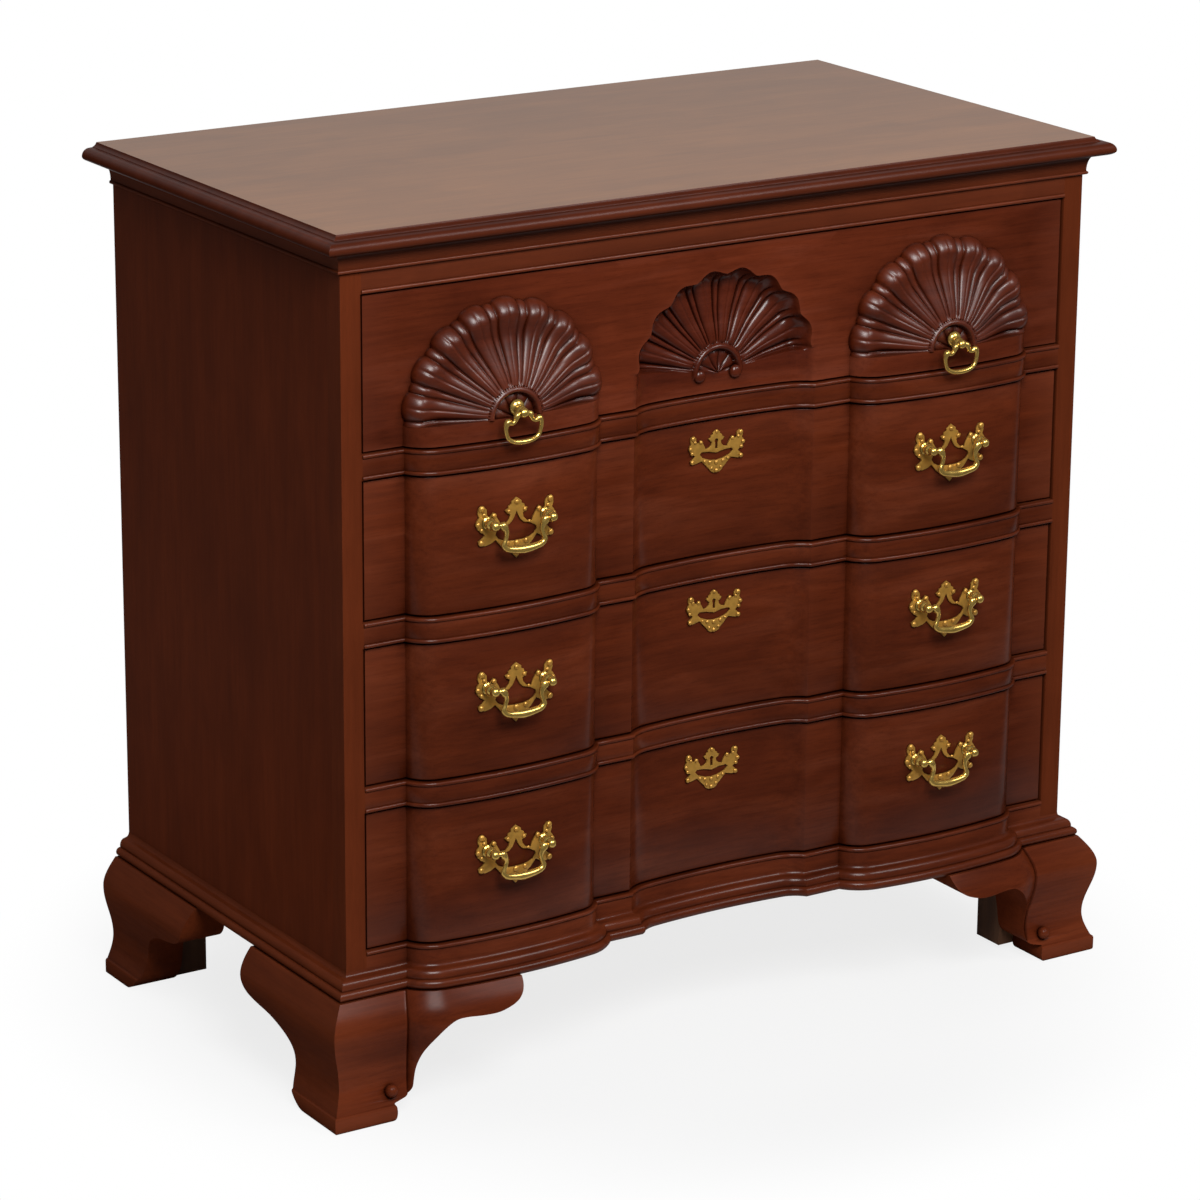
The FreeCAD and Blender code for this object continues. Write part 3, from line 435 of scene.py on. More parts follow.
# --- Ogee bracket feet ----------------------------------------------------------------------------
# Each front foot is two mahogany boards shaped to an ogee and mitred at the corner; the front one
# swells with the block above it. The rear feet have an ogee side and a plain board at the back.
ogee_top_out = 16.5
belly_out = 31.3
belly_z = 98.0
ankle_out = 21.2
ankle_z = 43.0
pad_z = 16.5
pad_out = 31.0
foot_board = 19.0
wing_points = [(66.0, 0.0), (68.6, 3.0), (69.6, 8.5), (68.8, 14.5), (67.6, 17.5), (72.5, 19.0), (82.0, 22.0),
               (88.0, 28.5), (90.5, 38.0), (92.5, 53.0), (96.0, 68.0), (102.0, 80.0), (112.0, 92.5),
               (123.0, 100.0), (135.0, 101.5), (154.0, 100.3), (171.0, 100.8), (188.0, 106.0),
               (197.0, 112.5), (201.5, 120.0), (203.0, 127.5)]
side_points = [(60.0, 0.0), (69.5, 1.8), (78.5, 6.2), (86.0, 13.0), (91.5, 22.0), (94.5, 32.0), (96.0, 42.0),
               (98.5, 52.0), (104.5, 61.0), (114.0, 68.5), (127.0, 75.0), (141.0, 79.0), (160.0, 82.0),
               (178.0, 87.0), (188.0, 97.0), (193.0, 118.0), (193.5, 127.5)]
rear_foot_length = 240.0
side_foot_length = 210.0
rear_extra = 14.0
knob_place = (397.0, case_front_y - 26.5, 30.8)
knob_radius = 6.6
scoop_radius = 11.5


def through(points, steps):
    """A smooth line through points, with even steps between each pair."""
    places = [Vector(point) for point in points]
    line = []
    for index in range(len(places) - 1):
        before = places[max(index - 1, 0)]
        first, second = places[index], places[index + 1]
        after = places[min(index + 2, len(places) - 1)]
        for step in range(steps):
            t = step / steps
            line.append(first * (2 * t ** 3 - 3 * t ** 2 + 1) + second * (3 * t ** 2 - 2 * t ** 3)
                        + (second - before) * 0.5 * (t ** 3 - 2 * t ** 2 + t)
                        + (after - first) * 0.5 * (t ** 3 - t ** 2))
    return line + [places[-1]]


def ogee_out(z):
    """How far the ogee stands out from the carcase at a height."""
    if z >= belly_z:
        share = (z - belly_z) / (foot_top_z - belly_z)
        return belly_out - (belly_out - ogee_top_out) * (1 - math.cos(share * math.pi / 2))
    if z >= ankle_z:
        share = (belly_z - z) / (belly_z - ankle_z)
        return belly_out - (belly_out - ankle_out) * (1 - math.cos(share * math.pi)) / 2
    share = (ankle_z - z) / (ankle_z - pad_z)
    return ankle_out + (pad_out - 2.2 - ankle_out) * (1 - math.cos(share * math.pi / 2))


def foot_profile():
    """Ogee from the floor up, with a rounded pad under it, as (out, height)."""
    profile = [(pad_out - 1.5, 0.0), (pad_out - 0.3, 1.2), (pad_out, 3.0), (pad_out, pad_z - 2.5),
               (pad_out - 0.5, pad_z - 0.9), (pad_out - 1.6, pad_z)]
    heights = [pad_z + 0.2 + (foot_top_z - pad_z - 0.2) * step / 30 for step in range(31)]
    return profile + [(ogee_out(z), z) for z in heights]


def cut_by(mesh, tool, operation):
    """The shape left by one boolean cut."""
    objects = []
    for shape in (mesh, tool):
        data = bpy.data.meshes.new("blank")
        shape.to_mesh(data)
        shape.free()
        objects.append(bpy.data.objects.new("blank", data))
        bpy.context.scene.collection.objects.link(objects[-1])
    saw = objects[0].modifiers.new("saw", "BOOLEAN")
    saw.object = objects[1]
    saw.operation = operation
    saw.solver = "EXACT"
    left = bmesh.new()
    left.from_object(objects[0], bpy.context.evaluated_depsgraph_get())
    for blank in objects:
        data = blank.data
        bpy.data.objects.remove(blank)
        bpy.data.meshes.remove(data)
    return left


def bracket_tool(points, place):
    """The saw's path through a bracket, as a prism; place turns (along, height) into a point."""
    line = [(point.x, point.y) for point in through([(along, z, 0) for along, z in points], 4)]
    above = foot_top_z + 2.0
    line = [(line[0][0], -2.0)] + line + [(line[-1][0], above), (-2.0, above), (-2.0, -2.0)]
    return stacked([[place(along, z, depth) for along, z in line] for depth in (0, 1)])


def ball(mesh, place, radius, squash=1.0, facets=(24, 16)):
    """Add a round boss, flattened from front to back where squash is under one."""
    bmesh.ops.create_uvsphere(mesh, u_segments=facets[0], v_segments=facets[1], radius=radius,
                              matrix=Matrix.Translation(place) @ Matrix.Diagonal((1.0, squash, 1.0, 1.0)))
    return mesh


def front_foot(sign):
    """The front board, swelling with the block above it, with a knob where the flat meets the swell."""
    rings = []
    for out, z in foot_profile():
        line = front_line(out, case_half + out)[:len(bow_line(block_shape, out)) + 1]
        x, y = line[1]
        depth = 1.6 * min(max(z - pad_z, 0.0) / 12.0, 1.0)
        line[1:2] = [(x - 5.0, y), (x - 2.6, y - 0.5 * depth), (x - 1.2, y + 0.1 * depth), (x, y + depth)]
        ring = [(sign * -x, y, z) for x, y in line]
        back_y = case_front_y + foot_board
        rings.append(ring + [(ring[-1][0], back_y, z), (sign * side_inner, back_y, z)])

    def place(along, z, depth):
        return (sign * (case_half + belly_out - along), case_front_y - 70 + 110 * depth, z)

    foot = cut_by(stacked(rings), bracket_tool(wing_points, place), "INTERSECT")
    x, y, z = knob_place
    foot = cut_by(foot, ball(bmesh.new(), (sign * x, y - 7.0, z), scoop_radius), "DIFFERENCE")
    return joined([foot, ball(bmesh.new(), (sign * x, y, z), knob_radius)])


def side_foot(sign, rear):
    """A side board, mitred to the front one or cut square at the back."""
    rings = []
    for out, z in foot_profile():
        if rear:
            outer, inner, far = case_back_y, case_back_y, case_back_y - rear_foot_length
        else:
            outer, inner, far = case_front_y - out, case_front_y + foot_board, case_front_y + side_foot_length
        ring = [(case_half + out, outer), (case_half + out, far), (side_inner, far), (side_inner, inner)]
        rings.append([(sign * x, y, z) for x, y in ring])
    extra = rear_extra - belly_out if rear else 0.0
    corner = case_back_y if rear else case_front_y - belly_out

    def place(along, z, depth):
        reach = max(along + extra, -2.0) if along > 0 else -2.0
        return (sign * (side_inner - 10 + 80 * depth), corner - reach if rear else corner + reach, z)

    return cut_by(stacked(rings), bracket_tool(side_points, place), "INTERSECT")


foot_wood = lacquered_mahogany("foot_mahogany", "x", (0.078, 0.0138, 0.0042), (0.100, 0.0182, 0.0056),
                               (0.124, 0.0242, 0.0076), coat=0.17, gloss=0.27, place=(0.4, 0.1, 0.8))
side_moulding_wood = lacquered_mahogany("return_mahogany", "y", (0.066, 0.0125, 0.0040),
                                        (0.086, 0.0165, 0.0050), (0.106, 0.0205, 0.0062), coat=0.05,
                                        roughness=0.45)
for side, sign in (("left", -1), ("right", 1)):
    finished(front_foot(sign), "ogee_face_" + side, "chest_case", foot_wood,
             ["foot_front_%s_face" % side])
    finished(side_foot(sign, False), "ogee_side_" + side, "chest_case", side_moulding_wood,
             ["foot_front_%s_side" % side])
    finished(side_foot(sign, True), "ogee_rear_" + side, "chest_case", side_moulding_wood,
             ["foot_rear_%s_side" % side])


# --- Base moulding and cove moulding --------------------------------------------------------------
# Mahogany mouldings glued round the carcase and mitred at its front corners: bead, ovolo and small
# cove over the feet, following the blocking, and a bead under a deep cove below the top.
def arc_points(centre, radii, start, end, steps):
    """Points on a round, for a moulding's section; angles in degrees."""
    points = []
    for step in range(steps + 1):
        angle = math.radians(start + (end - start) * step / steps)
        points.append((centre[0] + radii[0] * math.cos(angle), centre[1] + radii[1] * math.sin(angle)))
    return points


base_section = arc_points((10.75, 4.75), (4.75, 4.75), -62, 92, 12)
base_section[0] = (base_section[0][0], 0.0)
base_section += [(10.6, 10.2)] + arc_points((5.3, 10.9), (5.5, 7.6), 0, 90, 9)
base_section += arc_points((4.6, 24.0), (4.4, 5.2), 270, 180, 6)
cove_section = arc_points((2.4, 1.8), (1.8, 1.8), -90, 70, 8)
cove_section += arc_points((9.0, 3.8), (6.4, 16.2), 180, 90, 12)


def side_length(section, foot_z, sign):
    """One side's length of a moulding, mitred at the front corner."""
    rings = []
    for out, rise in section:
        half = case_half + out
        ring = [(half, case_front_y - out), (half, case_back_y), (case_half, case_back_y),
                (case_half, case_front_y)]
        rings.append([(sign * x, y, foot_z + rise) for x, y in ring])
    return stacked(rings)


rings = []
for out, rise in base_section:
    front = front_line(out, case_half + out)
    back = front_line(0.0, case_half)
    rings.append([(x, y, foot_top_z + rise) for x, y in front + back[::-1]])
finished(stacked(rings), "base_moulding_run", "chest_case", front_wood, ["base_moulding_front"])
cove_height = 20.0
cove_foot_z = case_top_z - cove_height
rings = []
for out, rise in cove_section:
    half = case_half + out
    ring = [(-half, case_front_y - out), (half, case_front_y - out), (case_half, case_front_y),
            (-case_half, case_front_y)]
    rings.append([(x, y, cove_foot_z + rise) for x, y in ring])
finished(stacked(rings), "cove_run", "chest_case", front_wood, ["top_moulding_front"])
for side, sign in (("left", -1), ("right", 1)):
    finished(side_length(base_section, foot_top_z, sign), "base_return_" + side, "chest_case",
             side_moulding_wood, ["base_moulding_" + side])
    finished(side_length(cove_section, cove_foot_z, sign), "cove_return_" + side, "chest_case",
             side_moulding_wood, ["top_moulding_" + side])


# --- Top board ------------------------------------------------------------------------------------
# One wide mahogany board with a small cove, a fillet and a rounded nose worked on its front and two ends. Its
# flat, the most polished surface, is painted lighter, partly as painted sheen; its moulded edge and the
# fillet's ledge are painted darker as painted shade.
top_wood = lacquered_mahogany("top_mahogany", "x", (0.124, 0.0425, 0.0122), (0.156, 0.0565, 0.0162),
                              (0.192, 0.0725, 0.0214), coat=0.53, roughness=0.34, gloss=0.28,
                              place=(0.2, 0.5, 0.3))
tree = top_wood.node_tree
surface = tree.nodes["Principled BSDF"]
facing = shader_node(tree, "ShaderNodeNewGeometry").outputs["Normal"]
# Painted shade: all but the upward flat above the fillet, that is the moulded edge, the ends and the ledge,
# is painted darker and given a thinner coat.
high_up = rescaled(tree, axes_of(tree, object_place(tree))["Z"], 0.8730, 0.8752)
flat = worked_out(tree, "MULTIPLY", axes_of(tree, facing)["Z"], high_up)
sheen_painted_colour = surface.inputs["Base Color"].links[0].from_socket
painted_edge_shade = ramp(tree, flat, [(0.955, (0.37, 0.19, 0.24)), (0.995, (1.0, 1.0, 1.0))])
polished = surface.inputs["Coat Weight"].links[0].from_socket
duller = rescaled(tree, flat, 0.955, 0.995, 0.42, 1.0)
fill(tree, surface, Base_Color=mixed(tree, "MULTIPLY", 1.0, sheen_painted_colour, painted_edge_shade),
     Coat_Weight=worked_out(tree, "MULTIPLY", polished, duller))
top_section = [(16.4, 0.0), (15.9, -1.2), (14.9, -2.5), (13.7, -3.5), (12.2, -4.2), (12.0, -4.6), (8.4, -4.8)]
top_section += arc_points((8.4, -12.8), (8.4, 8.0), 90, 180, 10)[1:]
top_section += arc_points((13.5, -12.8), (13.5, 6.2), 180, 270, 7)[1:]
top_half = 454.5
top_front_y = -233.4
top_back_y = 267.0
chest_height = 876.0
rings = []
for inset, drop in reversed(top_section):
    x, y = top_half - inset, top_front_y + inset
    ring = [(-x, y), (x, y), (x, top_back_y), (-x, top_back_y)]
    rings.append([(x, y, chest_height + drop) for x, y in ring])
finished(stacked(rings), "moulded_top", "chest_case", top_wood, ["top_board"])


# --- Drawer fronts two to four --------------------------------------------------------------------
# Thick mahogany fronts sawn and planed to the blocking, with their edges just eased. The sides of
# each drawer box are dovetailed into its front.
drawer_front_y = -206.9
front_back_y = -172.9
drawer_half = 405.8
drawer_inset = 2.5
end_gap = 2.0
for number in (2, 3, 4):
    low = opening_bottoms[number - 1] + end_gap
    high = opening_tops[number - 1] - end_gap
    # Painted shade: each lower drawer's colours are painted darker, as the light falls off towards the floor.
    deep = 1.14 - 0.07 * number
    dark, middle, light = (0.068, 0.0120, 0.0037), (0.090, 0.0160, 0.0048), (0.114, 0.0238, 0.0088)
    dark, middle, light = (tuple(channel * deep for channel in tone) for tone in (dark, middle, light))
    wood = lacquered_mahogany("drawer_%d_mahogany" % number, "x", dark, middle, light, coat=0.36,
                              place=(0.37 * number, 0.2, 0.11 * number))
    profile = [(-drawer_inset - 1.0, low), (-drawer_inset - 0.3, low + 0.3), (-drawer_inset, low + 1.0),
               (-drawer_inset, high - 1.0), (-drawer_inset - 0.3, high - 0.3), (-drawer_inset - 1.0, high)]
    finished(blocked(profile, drawer_half, front_back_y), "blocked_front_%d" % number, "drawer_%d" % number,
             wood, ["drawer_%d_front" % number])


# --- Top drawer front with its three shells -------------------------------------------------------
# A mahogany front where the blocks and the hollow end in shells: two raised ones of nine lobes,
# carved apart and glued on, and one of eight flutes cut into the front. Each has a half rosette.
top_low = opening_bottoms[0] + end_gap
top_high = opening_tops[0] - end_gap
shell_base_z = opening_bottoms[0] + 21.3
field = top_high - shell_base_z
fan_step = 0.5
fan_columns = int(180 / fan_step) + 1
raised_reach = 104.0
sunk_reach = 101.5
shell_rows = [0.0, 0.04, 0.08, 0.12, 0.15, 0.18, 0.20, 0.215, 0.225, 0.235, 0.245, 0.255, 0.265, 0.275, 0.285,
              0.295, 0.32, 0.36, 0.41, 0.47, 0.53, 0.59, 0.65, 0.70, 0.75, 0.79, 0.83, 0.86, 0.885, 0.91,
              0.93, 0.948, 0.963, 0.976, 0.986, 0.993, 0.998, 1.0]
lobe_turn = 20.0
sunk_margin = 10.0
strip_rows = 4
flat_rows = 5
curl_place = (21.0, drawer_front_y + 15.0, shell_base_z - 1.5)
curl_radius = 6.8
ring_radius = 26.0
ring_half = 3.4


def bow_out(shape, along):
    """How far a bow stands out from the flat at a distance from its centre."""
    along = -min(abs(along), shape["half_width"])
    centre_x, centre_y = bow_side(shape)
    crown_y = shape["depth"] - shape["crown"]
    lean = math.atan2(centre_y - crown_y, centre_x)
    if along > shape["crown"] * math.cos(lean):
        return crown_y + math.sqrt(shape["crown"] ** 2 - along ** 2)
    return centre_y + math.sqrt(max(shape["side"] ** 2 - (along - centre_x) ** 2, 0.0))


def dome(value, width):
    """A half round of unit height and a given half width."""
    return math.sqrt(max(1 - (value / width) ** 2, 0.0))


def eased(value, low, high):
    """Nought below low, one above high, and a soft rise between."""
    share = min(max((value - low) / (high - low), 0.0), 1.0)
    return share * share * (3 - 2 * share)


def rosette_height(radius, angle):
    """Raised arch round a small sunk fan of petals, above the ground it stands on."""
    height = 4.0 * dome(radius - ring_radius, ring_half)
    if radius < ring_radius:
        inside = eased(radius, ring_radius - 1.5, ring_radius - 4.0)
        petal = abs(math.sin(math.radians(angle - 9.0) * 5.0)) ** 0.7
        height += inside * (2.0 * petal * eased(radius, 23.0, 19.0) - 2.2)
        height += 1.8 * dome(radius, 7.0)
    return height


def raised_lobe(angle):
    """Section across the raised lobes: a creased broad one, then a slender lower one."""
    place = angle / lobe_turn % 1.0
    crease = 0.16 * math.exp(-((place - 0.5) / 0.045) ** 2)
    return max(dome(place - 0.5, 0.355) ** 0.62 - crease, 0.58 * dome(min(place, 1 - place), 0.14) ** 0.7)


def raised_edge(angle):
    """Reach of a raised shell's scalloped outline."""
    place = angle / lobe_turn % 1.0
    return raised_reach + 7.0 * max(dome(place - 0.5, 0.37), 0.4 * dome(min(place, 1 - place), 0.15)) ** 0.8


def raised_height(share, angle):
    """How far a raised shell stands out from the flat drawer front."""
    radius = share * raised_edge(angle)
    if radius < ring_radius + ring_half:
        return bow_out(block_shape, radius) - 1.4 + rosette_height(radius, angle)
    crown = 15.0 + 11.0 * (1 - eased(share, 0.24, 0.78)) ** 1.3
    crown += 2.0 * math.exp(-((share - 0.88) / 0.08) ** 2) - 0.8 * math.exp(-((share - 0.70) / 0.08) ** 2)
    depth = 2.6 + 5.4 * eased(share, 0.3, 0.9)
    depth *= eased(radius, ring_radius + ring_half - 0.5, ring_radius + ring_half + 3.0)
    body = crown - depth * (1 - raised_lobe(angle))
    if share > 0.86:
        body *= dome(share - 0.86, 0.14)
    return body


def sunk_edge(angle):
    """Reach of the sunk shell's waved outline."""
    place = (angle - sunk_margin) / lobe_turn % 1.0
    wave = (0.5 - 0.5 * math.cos(math.tau * place)) ** 0.75
    inside = eased(min(angle, 180 - angle), sunk_margin - 4.0, sunk_margin + 4.0)
    return sunk_reach + 2.0 * (1 - inside) + 5.5 * wave * inside


def sunk_depth(share, angle):
    """How far the sunk shell lies behind the flat drawer front."""
    radius = share * sunk_edge(angle)
    strip = bow_out(hollow_shape, radius * abs(math.cos(math.radians(angle))))
    bowl = 15.2 + 5.0 * eased(share, 0.27, 0.66)
    if share > 0.80:
        bowl *= 1 - ((share - 0.80) / 0.20) ** 3
    if radius < ring_radius + ring_half:
        return bowl + 0.6 - rosette_height(radius, angle)
    away = abs((angle - sunk_margin) / lobe_turn % 1.0 - 0.5)
    crease = 0.15 * math.exp(-(away / 0.05) ** 2)
    rise = max(0.66 * dome(0.5 - away, 0.13), dome(away, 0.37) ** 0.85 - crease)
    cut = (3.2 + 4.2 * eased(share, 0.3, 0.85)) * eased(share, 1.0, 0.93)
    cut *= eased(radius, ring_radius + ring_half, ring_radius + ring_half + 3.0)
    depth = bowl + cut * (0.55 - rise)
    carved = eased(min(angle, 180 - angle), sunk_margin - 3.0, sunk_margin - 1.0)
    return strip * (1 - carved) + depth * carved


def sunk_place(column, row):
    """Corners of the sunk shell, then of the flat round it out to a square field."""
    angle = column * fan_step
    turn = math.radians(angle)
    reach = sunk_edge(angle)
    if row < len(shell_rows):
        radius = shell_rows[row] * reach
        depth = sunk_depth(shell_rows[row], angle)
    else:
        limit = field / max(abs(math.cos(turn)), math.sin(turn))
        share = (row - len(shell_rows) + 1) / flat_rows
        radius = reach + (limit - reach) * share
        depth = 0.0
    return (radius * math.cos(turn), drawer_front_y + depth, shell_base_z + radius * math.sin(turn))


top_wood_front = lacquered_mahogany("top_drawer_mahogany", "x", (0.074, 0.0132, 0.0046),
                                    (0.097, 0.0176, 0.0062), (0.116, 0.0248, 0.0108), coat=0.36,
                                    place=(0.1, 0.3, 0.6))
carved_wood = lacquered_mahogany("carved_mahogany", "x", (0.060, 0.0096, 0.0030), (0.080, 0.0128, 0.0038),
                                 (0.100, 0.0168, 0.0050), coat=1.0, gloss=0.35, place=(0.7, 0.3, 0.2))
sunk = patch(fan_columns, len(shell_rows) + flat_rows, sunk_place)
base_radii = [abs(sunk_place(0, row)[0]) for row in range(len(shell_rows) + flat_rows)]
left_block = [(along - block_centre, drawer_front_y - out) for along, out in bow_line(block_shape, 0.0)]
flank = [(-drawer_half, drawer_front_y)] + left_block + [(-field, drawer_front_y)]
inward = list(enumerate(base_radii))[-2::-1]
centre = [(-radius, sunk_place(fan_columns - 1, row)[1]) for row, radius in inward]
right = [(-x, y) for x, y in reversed(flank + centre[:-1])]
strip_line = flank + centre + right


def hollow_y(x):
    """The plain hollow of the blocked front, which ends at its flats."""
    return drawer_front_y + (bow_out(hollow_shape, x) if abs(x) < hollow_shape["half_width"] - 0.1 else 0.0)


def strip_place(column, row):
    """Plain blocked strip under the shells, whose top edge meets the shells' feet."""
    x, y = strip_line[column]
    if row < strip_rows and abs(x) < field - 1:
        y = hollow_y(x)
    return (x, y, top_low + (shell_base_z - top_low) * row / strip_rows)


strip = patch(len(strip_line), strip_rows + 1, strip_place)
flank_rows = [field * math.tan(math.radians(fan_step * row)) for row in range(int(45 / fan_step) + 1)]
ledges = []
for sign in (-1, 1):
    ledges.append(patch(len(flank), 2, lambda column, row: (
        -sign * flank[column][0], flank[column][1] if row == 0 else drawer_front_y, shell_base_z)))
    ledges.append(patch(len(flank), len(flank_rows), lambda column, row: (
        -sign * flank[column][0], drawer_front_y, shell_base_z + flank_rows[row])))
curls = bmesh.new()
for sign in (-1, 1):
    ball(curls, (sign * curl_place[0], curl_place[1], curl_place[2]), curl_radius, 0.72)


def walled(mesh, back_y):
    """Walls run straight back from the rim of a carved face."""
    rim = [edge for edge in mesh.edges if edge.is_boundary]
    pushed = bmesh.ops.extrude_edge_only(mesh, edges=rim)
    for corner in [part for part in pushed["geom"] if isinstance(part, bmesh.types.BMVert)]:
        corner.co.y = back_y
    return closed(mesh)


face = joined([sunk, strip] + ledges)
bmesh.ops.remove_doubles(face, verts=face.verts, dist=0.004)
face = joined([walled(face, front_back_y), curls])
finished(face, "carved_front", "drawer_1", top_wood_front, ["drawer_1_front"], crease=50.0)
tree = top_wood_front.node_tree
surface = tree.nodes["Principled BSDF"]
spot = axes_of(tree, object_place(tree))
# Painted shade: the sunk shell's recess is painted darker and given a heavier coat.
sunk_shell_shade = worked_out(tree, "MULTIPLY", rescaled(tree, spot["Y"], -0.2065, -0.2025),
                    rescaled(tree, spot["Z"], 0.666, 0.690))
# Painted light and shade: the front's colour is lighter at the middle and darker towards both ends, as the
# light falls across it.
shaded = rescaled(tree, worked_out(tree, "ABSOLUTE", spot["X"]), 0.10, 0.40, 1.16, 0.84)
plain = mixed(tree, "MULTIPLY", 1.0, surface.inputs["Base Color"].links[0].from_socket, shaded)
polished = surface.inputs["Coat Weight"].links[0].from_socket
fill(tree, surface, Base_Color=mixed(tree, "MULTIPLY", sunk_shell_shade, plain, (0.64, 0.56, 0.56, 1.0)),
     Coat_Weight=worked_out(tree, "MULTIPLY_ADD", sunk_shell_shade, 0.30, polished))


def raised_place(column, row):
    """Corners of a raised shell, whose last row is let into the drawer front."""
    angle = column * fan_step
    radius = shell_rows[row] * raised_edge(angle)
    height = raised_height(shell_rows[row], angle)
    if row == len(shell_rows) - 1:
        height = -0.5
    return (radius * math.cos(math.radians(angle)), drawer_front_y - height,
            shell_base_z + radius * math.sin(math.radians(angle)))


for side, sign in (("left", -1), ("right", 1)):
    shell = patch(fan_columns, len(shell_rows), raised_place)
    bmesh.ops.remove_doubles(shell, verts=shell.verts, dist=0.002)
    bmesh.ops.translate(shell, verts=shell.verts, vec=(sign * block_centre, 0, 0))
    finished(walled(shell, drawer_front_y + 1.0), "raised_shell_" + side, "drawer_1", carved_wood,
             ["drawer_1_shell_" + side], crease=50.0)


# --- Pull plates and escutcheons ------------------------------------------------------------------
# Cast brass plates in a bat-wing outline, pierced in the middle, with a bevelled edge. They are
# bent to the block or hollow that carries them. Toned lacquer leaves a brown patina in hollows.
def toned_brass(name, bright, brown, roughness, metal):
    """Polished brass under a warm lacquer, browner where a cloth doesn't reach."""
    material, tree, surface = new_finish(name)
    noise = shader_node(tree, "ShaderNodeTexNoise", Vector=object_place(tree), Scale=160.0, Detail=5.0)
    clouds = noise.outputs["Fac"]
    toned = ramp(tree, clouds, [(0.3, tuple(channel * 0.8 for channel in bright)), (0.65, bright)])
    hollows = shader_node(tree, "ShaderNodeAmbientOcclusion", samples=6, Distance=0.004).outputs["AO"]
    unreached = ramp(tree, hollows, [(0.35, (1.0, 1.0, 1.0)), (0.85, (0.0, 0.0, 0.0))])
    relief = shader_node(tree, "ShaderNodeBump", Strength=0.12, Distance=0.0004, Height=clouds)
    fill(tree, surface, Base_Color=mixed(tree, "MIX", unreached, toned, (*brown, 1.0)), Metallic=metal,
         Roughness=rescaled(tree, clouds, 0.0, 1.0, roughness - 0.05, roughness + 0.12),
         Normal=relief.outputs["Normal"])
    return material


plate_brass = toned_brass("toned_brass", (0.60, 0.315, 0.058), (0.06, 0.028, 0.006), 0.30, 0.55)
plate_thickness = 1.8
wing = [(0.0, 30.0), (3.2, 27.6), (5.6, 26.0), (5.8, 23.6), (8.8, 22.0), (9.2, 19.8), (12.5, 18.2),
        (10.5, 15.0), (7.0, 13.5), (8.0, 9.5), (11.5, 5.5), (17.0, 4.5), (19.0, 9.0), (21.5, 13.0),
        (25.0, 18.2), (29.0, 14.2), (32.0, 15.7), (32.5, 22.0), (36.0, 25.7), (41.0, 23.7), (42.0, 19.0),
        (40.5, 14.5), (43.0, 11.5), (44.0, 7.5), (42.0, 3.0), (37.5, -0.5), (34.5, -3.0), (37.0, -5.8),
        (41.5, -8.8), (40.0, -12.8), (34.0, -13.8), (28.0, -12.3), (23.0, -9.3), (17.0, -16.3),
        (10.0, -21.8), (5.0, -24.8), (0.0, -29.8)]
middle_opening = [(0.0, 16.0), (1.8, 12.0), (4.0, 8.0), (8.0, 4.2), (15.0, 2.7), (22.0, -1.3), (23.0, -4.3),
                  (20.0, -8.3), (15.0, -10.8), (8.0, -12.3), (0.0, -12.8)]
wing_beads = [(38.0, 23.0, 3.4), (25.0, 15.0, 2.8), (42.0, 8.0, 2.6), (38.5, -10.3, 3.2), (10.5, -14.0, 2.8),
              (0.0, -15.0, 3.2), (9.0, 17.0, 2.2), (0.0, 25.5, 2.6), (35.5, 17.0, 2.2), (38.0, 2.0, 2.4),
              (5.0, -21.0, 2.2), (14.0, 4.4, 1.6)]
shield = [(0.0, 22.0), (2.4, 20.4), (4.1, 19.2), (4.3, 17.5), (6.5, 16.3), (6.8, 14.7), (9.4, 13.4),
          (7.8, 11.1), (5.4, 10.0), (5.9, 7.0), (8.5, 4.6), (12.6, 3.6), (14.0, 6.7), (15.9, 9.6),
          (18.5, 13.4), (21.5, 10.5), (23.7, 11.6), (24.0, 16.0), (26.6, 18.6), (30.3, 17.3), (31.0, 14.0),
          (30.0, 10.7), (31.8, 8.5), (32.6, 5.6), (31.0, 2.2), (27.8, -0.4), (25.5, -2.2), (27.4, -4.3),
          (30.7, -6.5), (29.6, -9.5), (25.2, -10.2), (20.7, -9.1), (17.0, -8.3), (12.6, -13.0),
          (8.0, -17.5), (6.5, -19.8), (3.6, -21.5), (0.0, -21.9)]
crescent = [(0.0, -1.8), (9.0, 0.4), (17.5, 0.9), (19.5, -1.2), (16.0, -5.0), (7.0, -8.2), (0.0, -9.0)]
keyhole = [(0.0, 12.6), (1.5, 12.0), (2.1, 10.5), (1.4, 8.9), (1.2, 3.0), (0.0, 3.0)]
shield_beads = [(28.0, 16.0, 2.6), (18.5, 11.2, 2.1), (31.0, 6.0, 2.1), (28.6, -7.9, 2.4), (7.8, -10.2, 2.1),
                (0.0, -11.2, 2.4), (13.5, -8.6, 1.8), (0.0, -19.5, 2.4), (5.5, -16.5, 1.8),
                (0.0, 20.0, 2.0), (25.5, 12.0, 1.8), (29.0, 1.0, 1.9)]


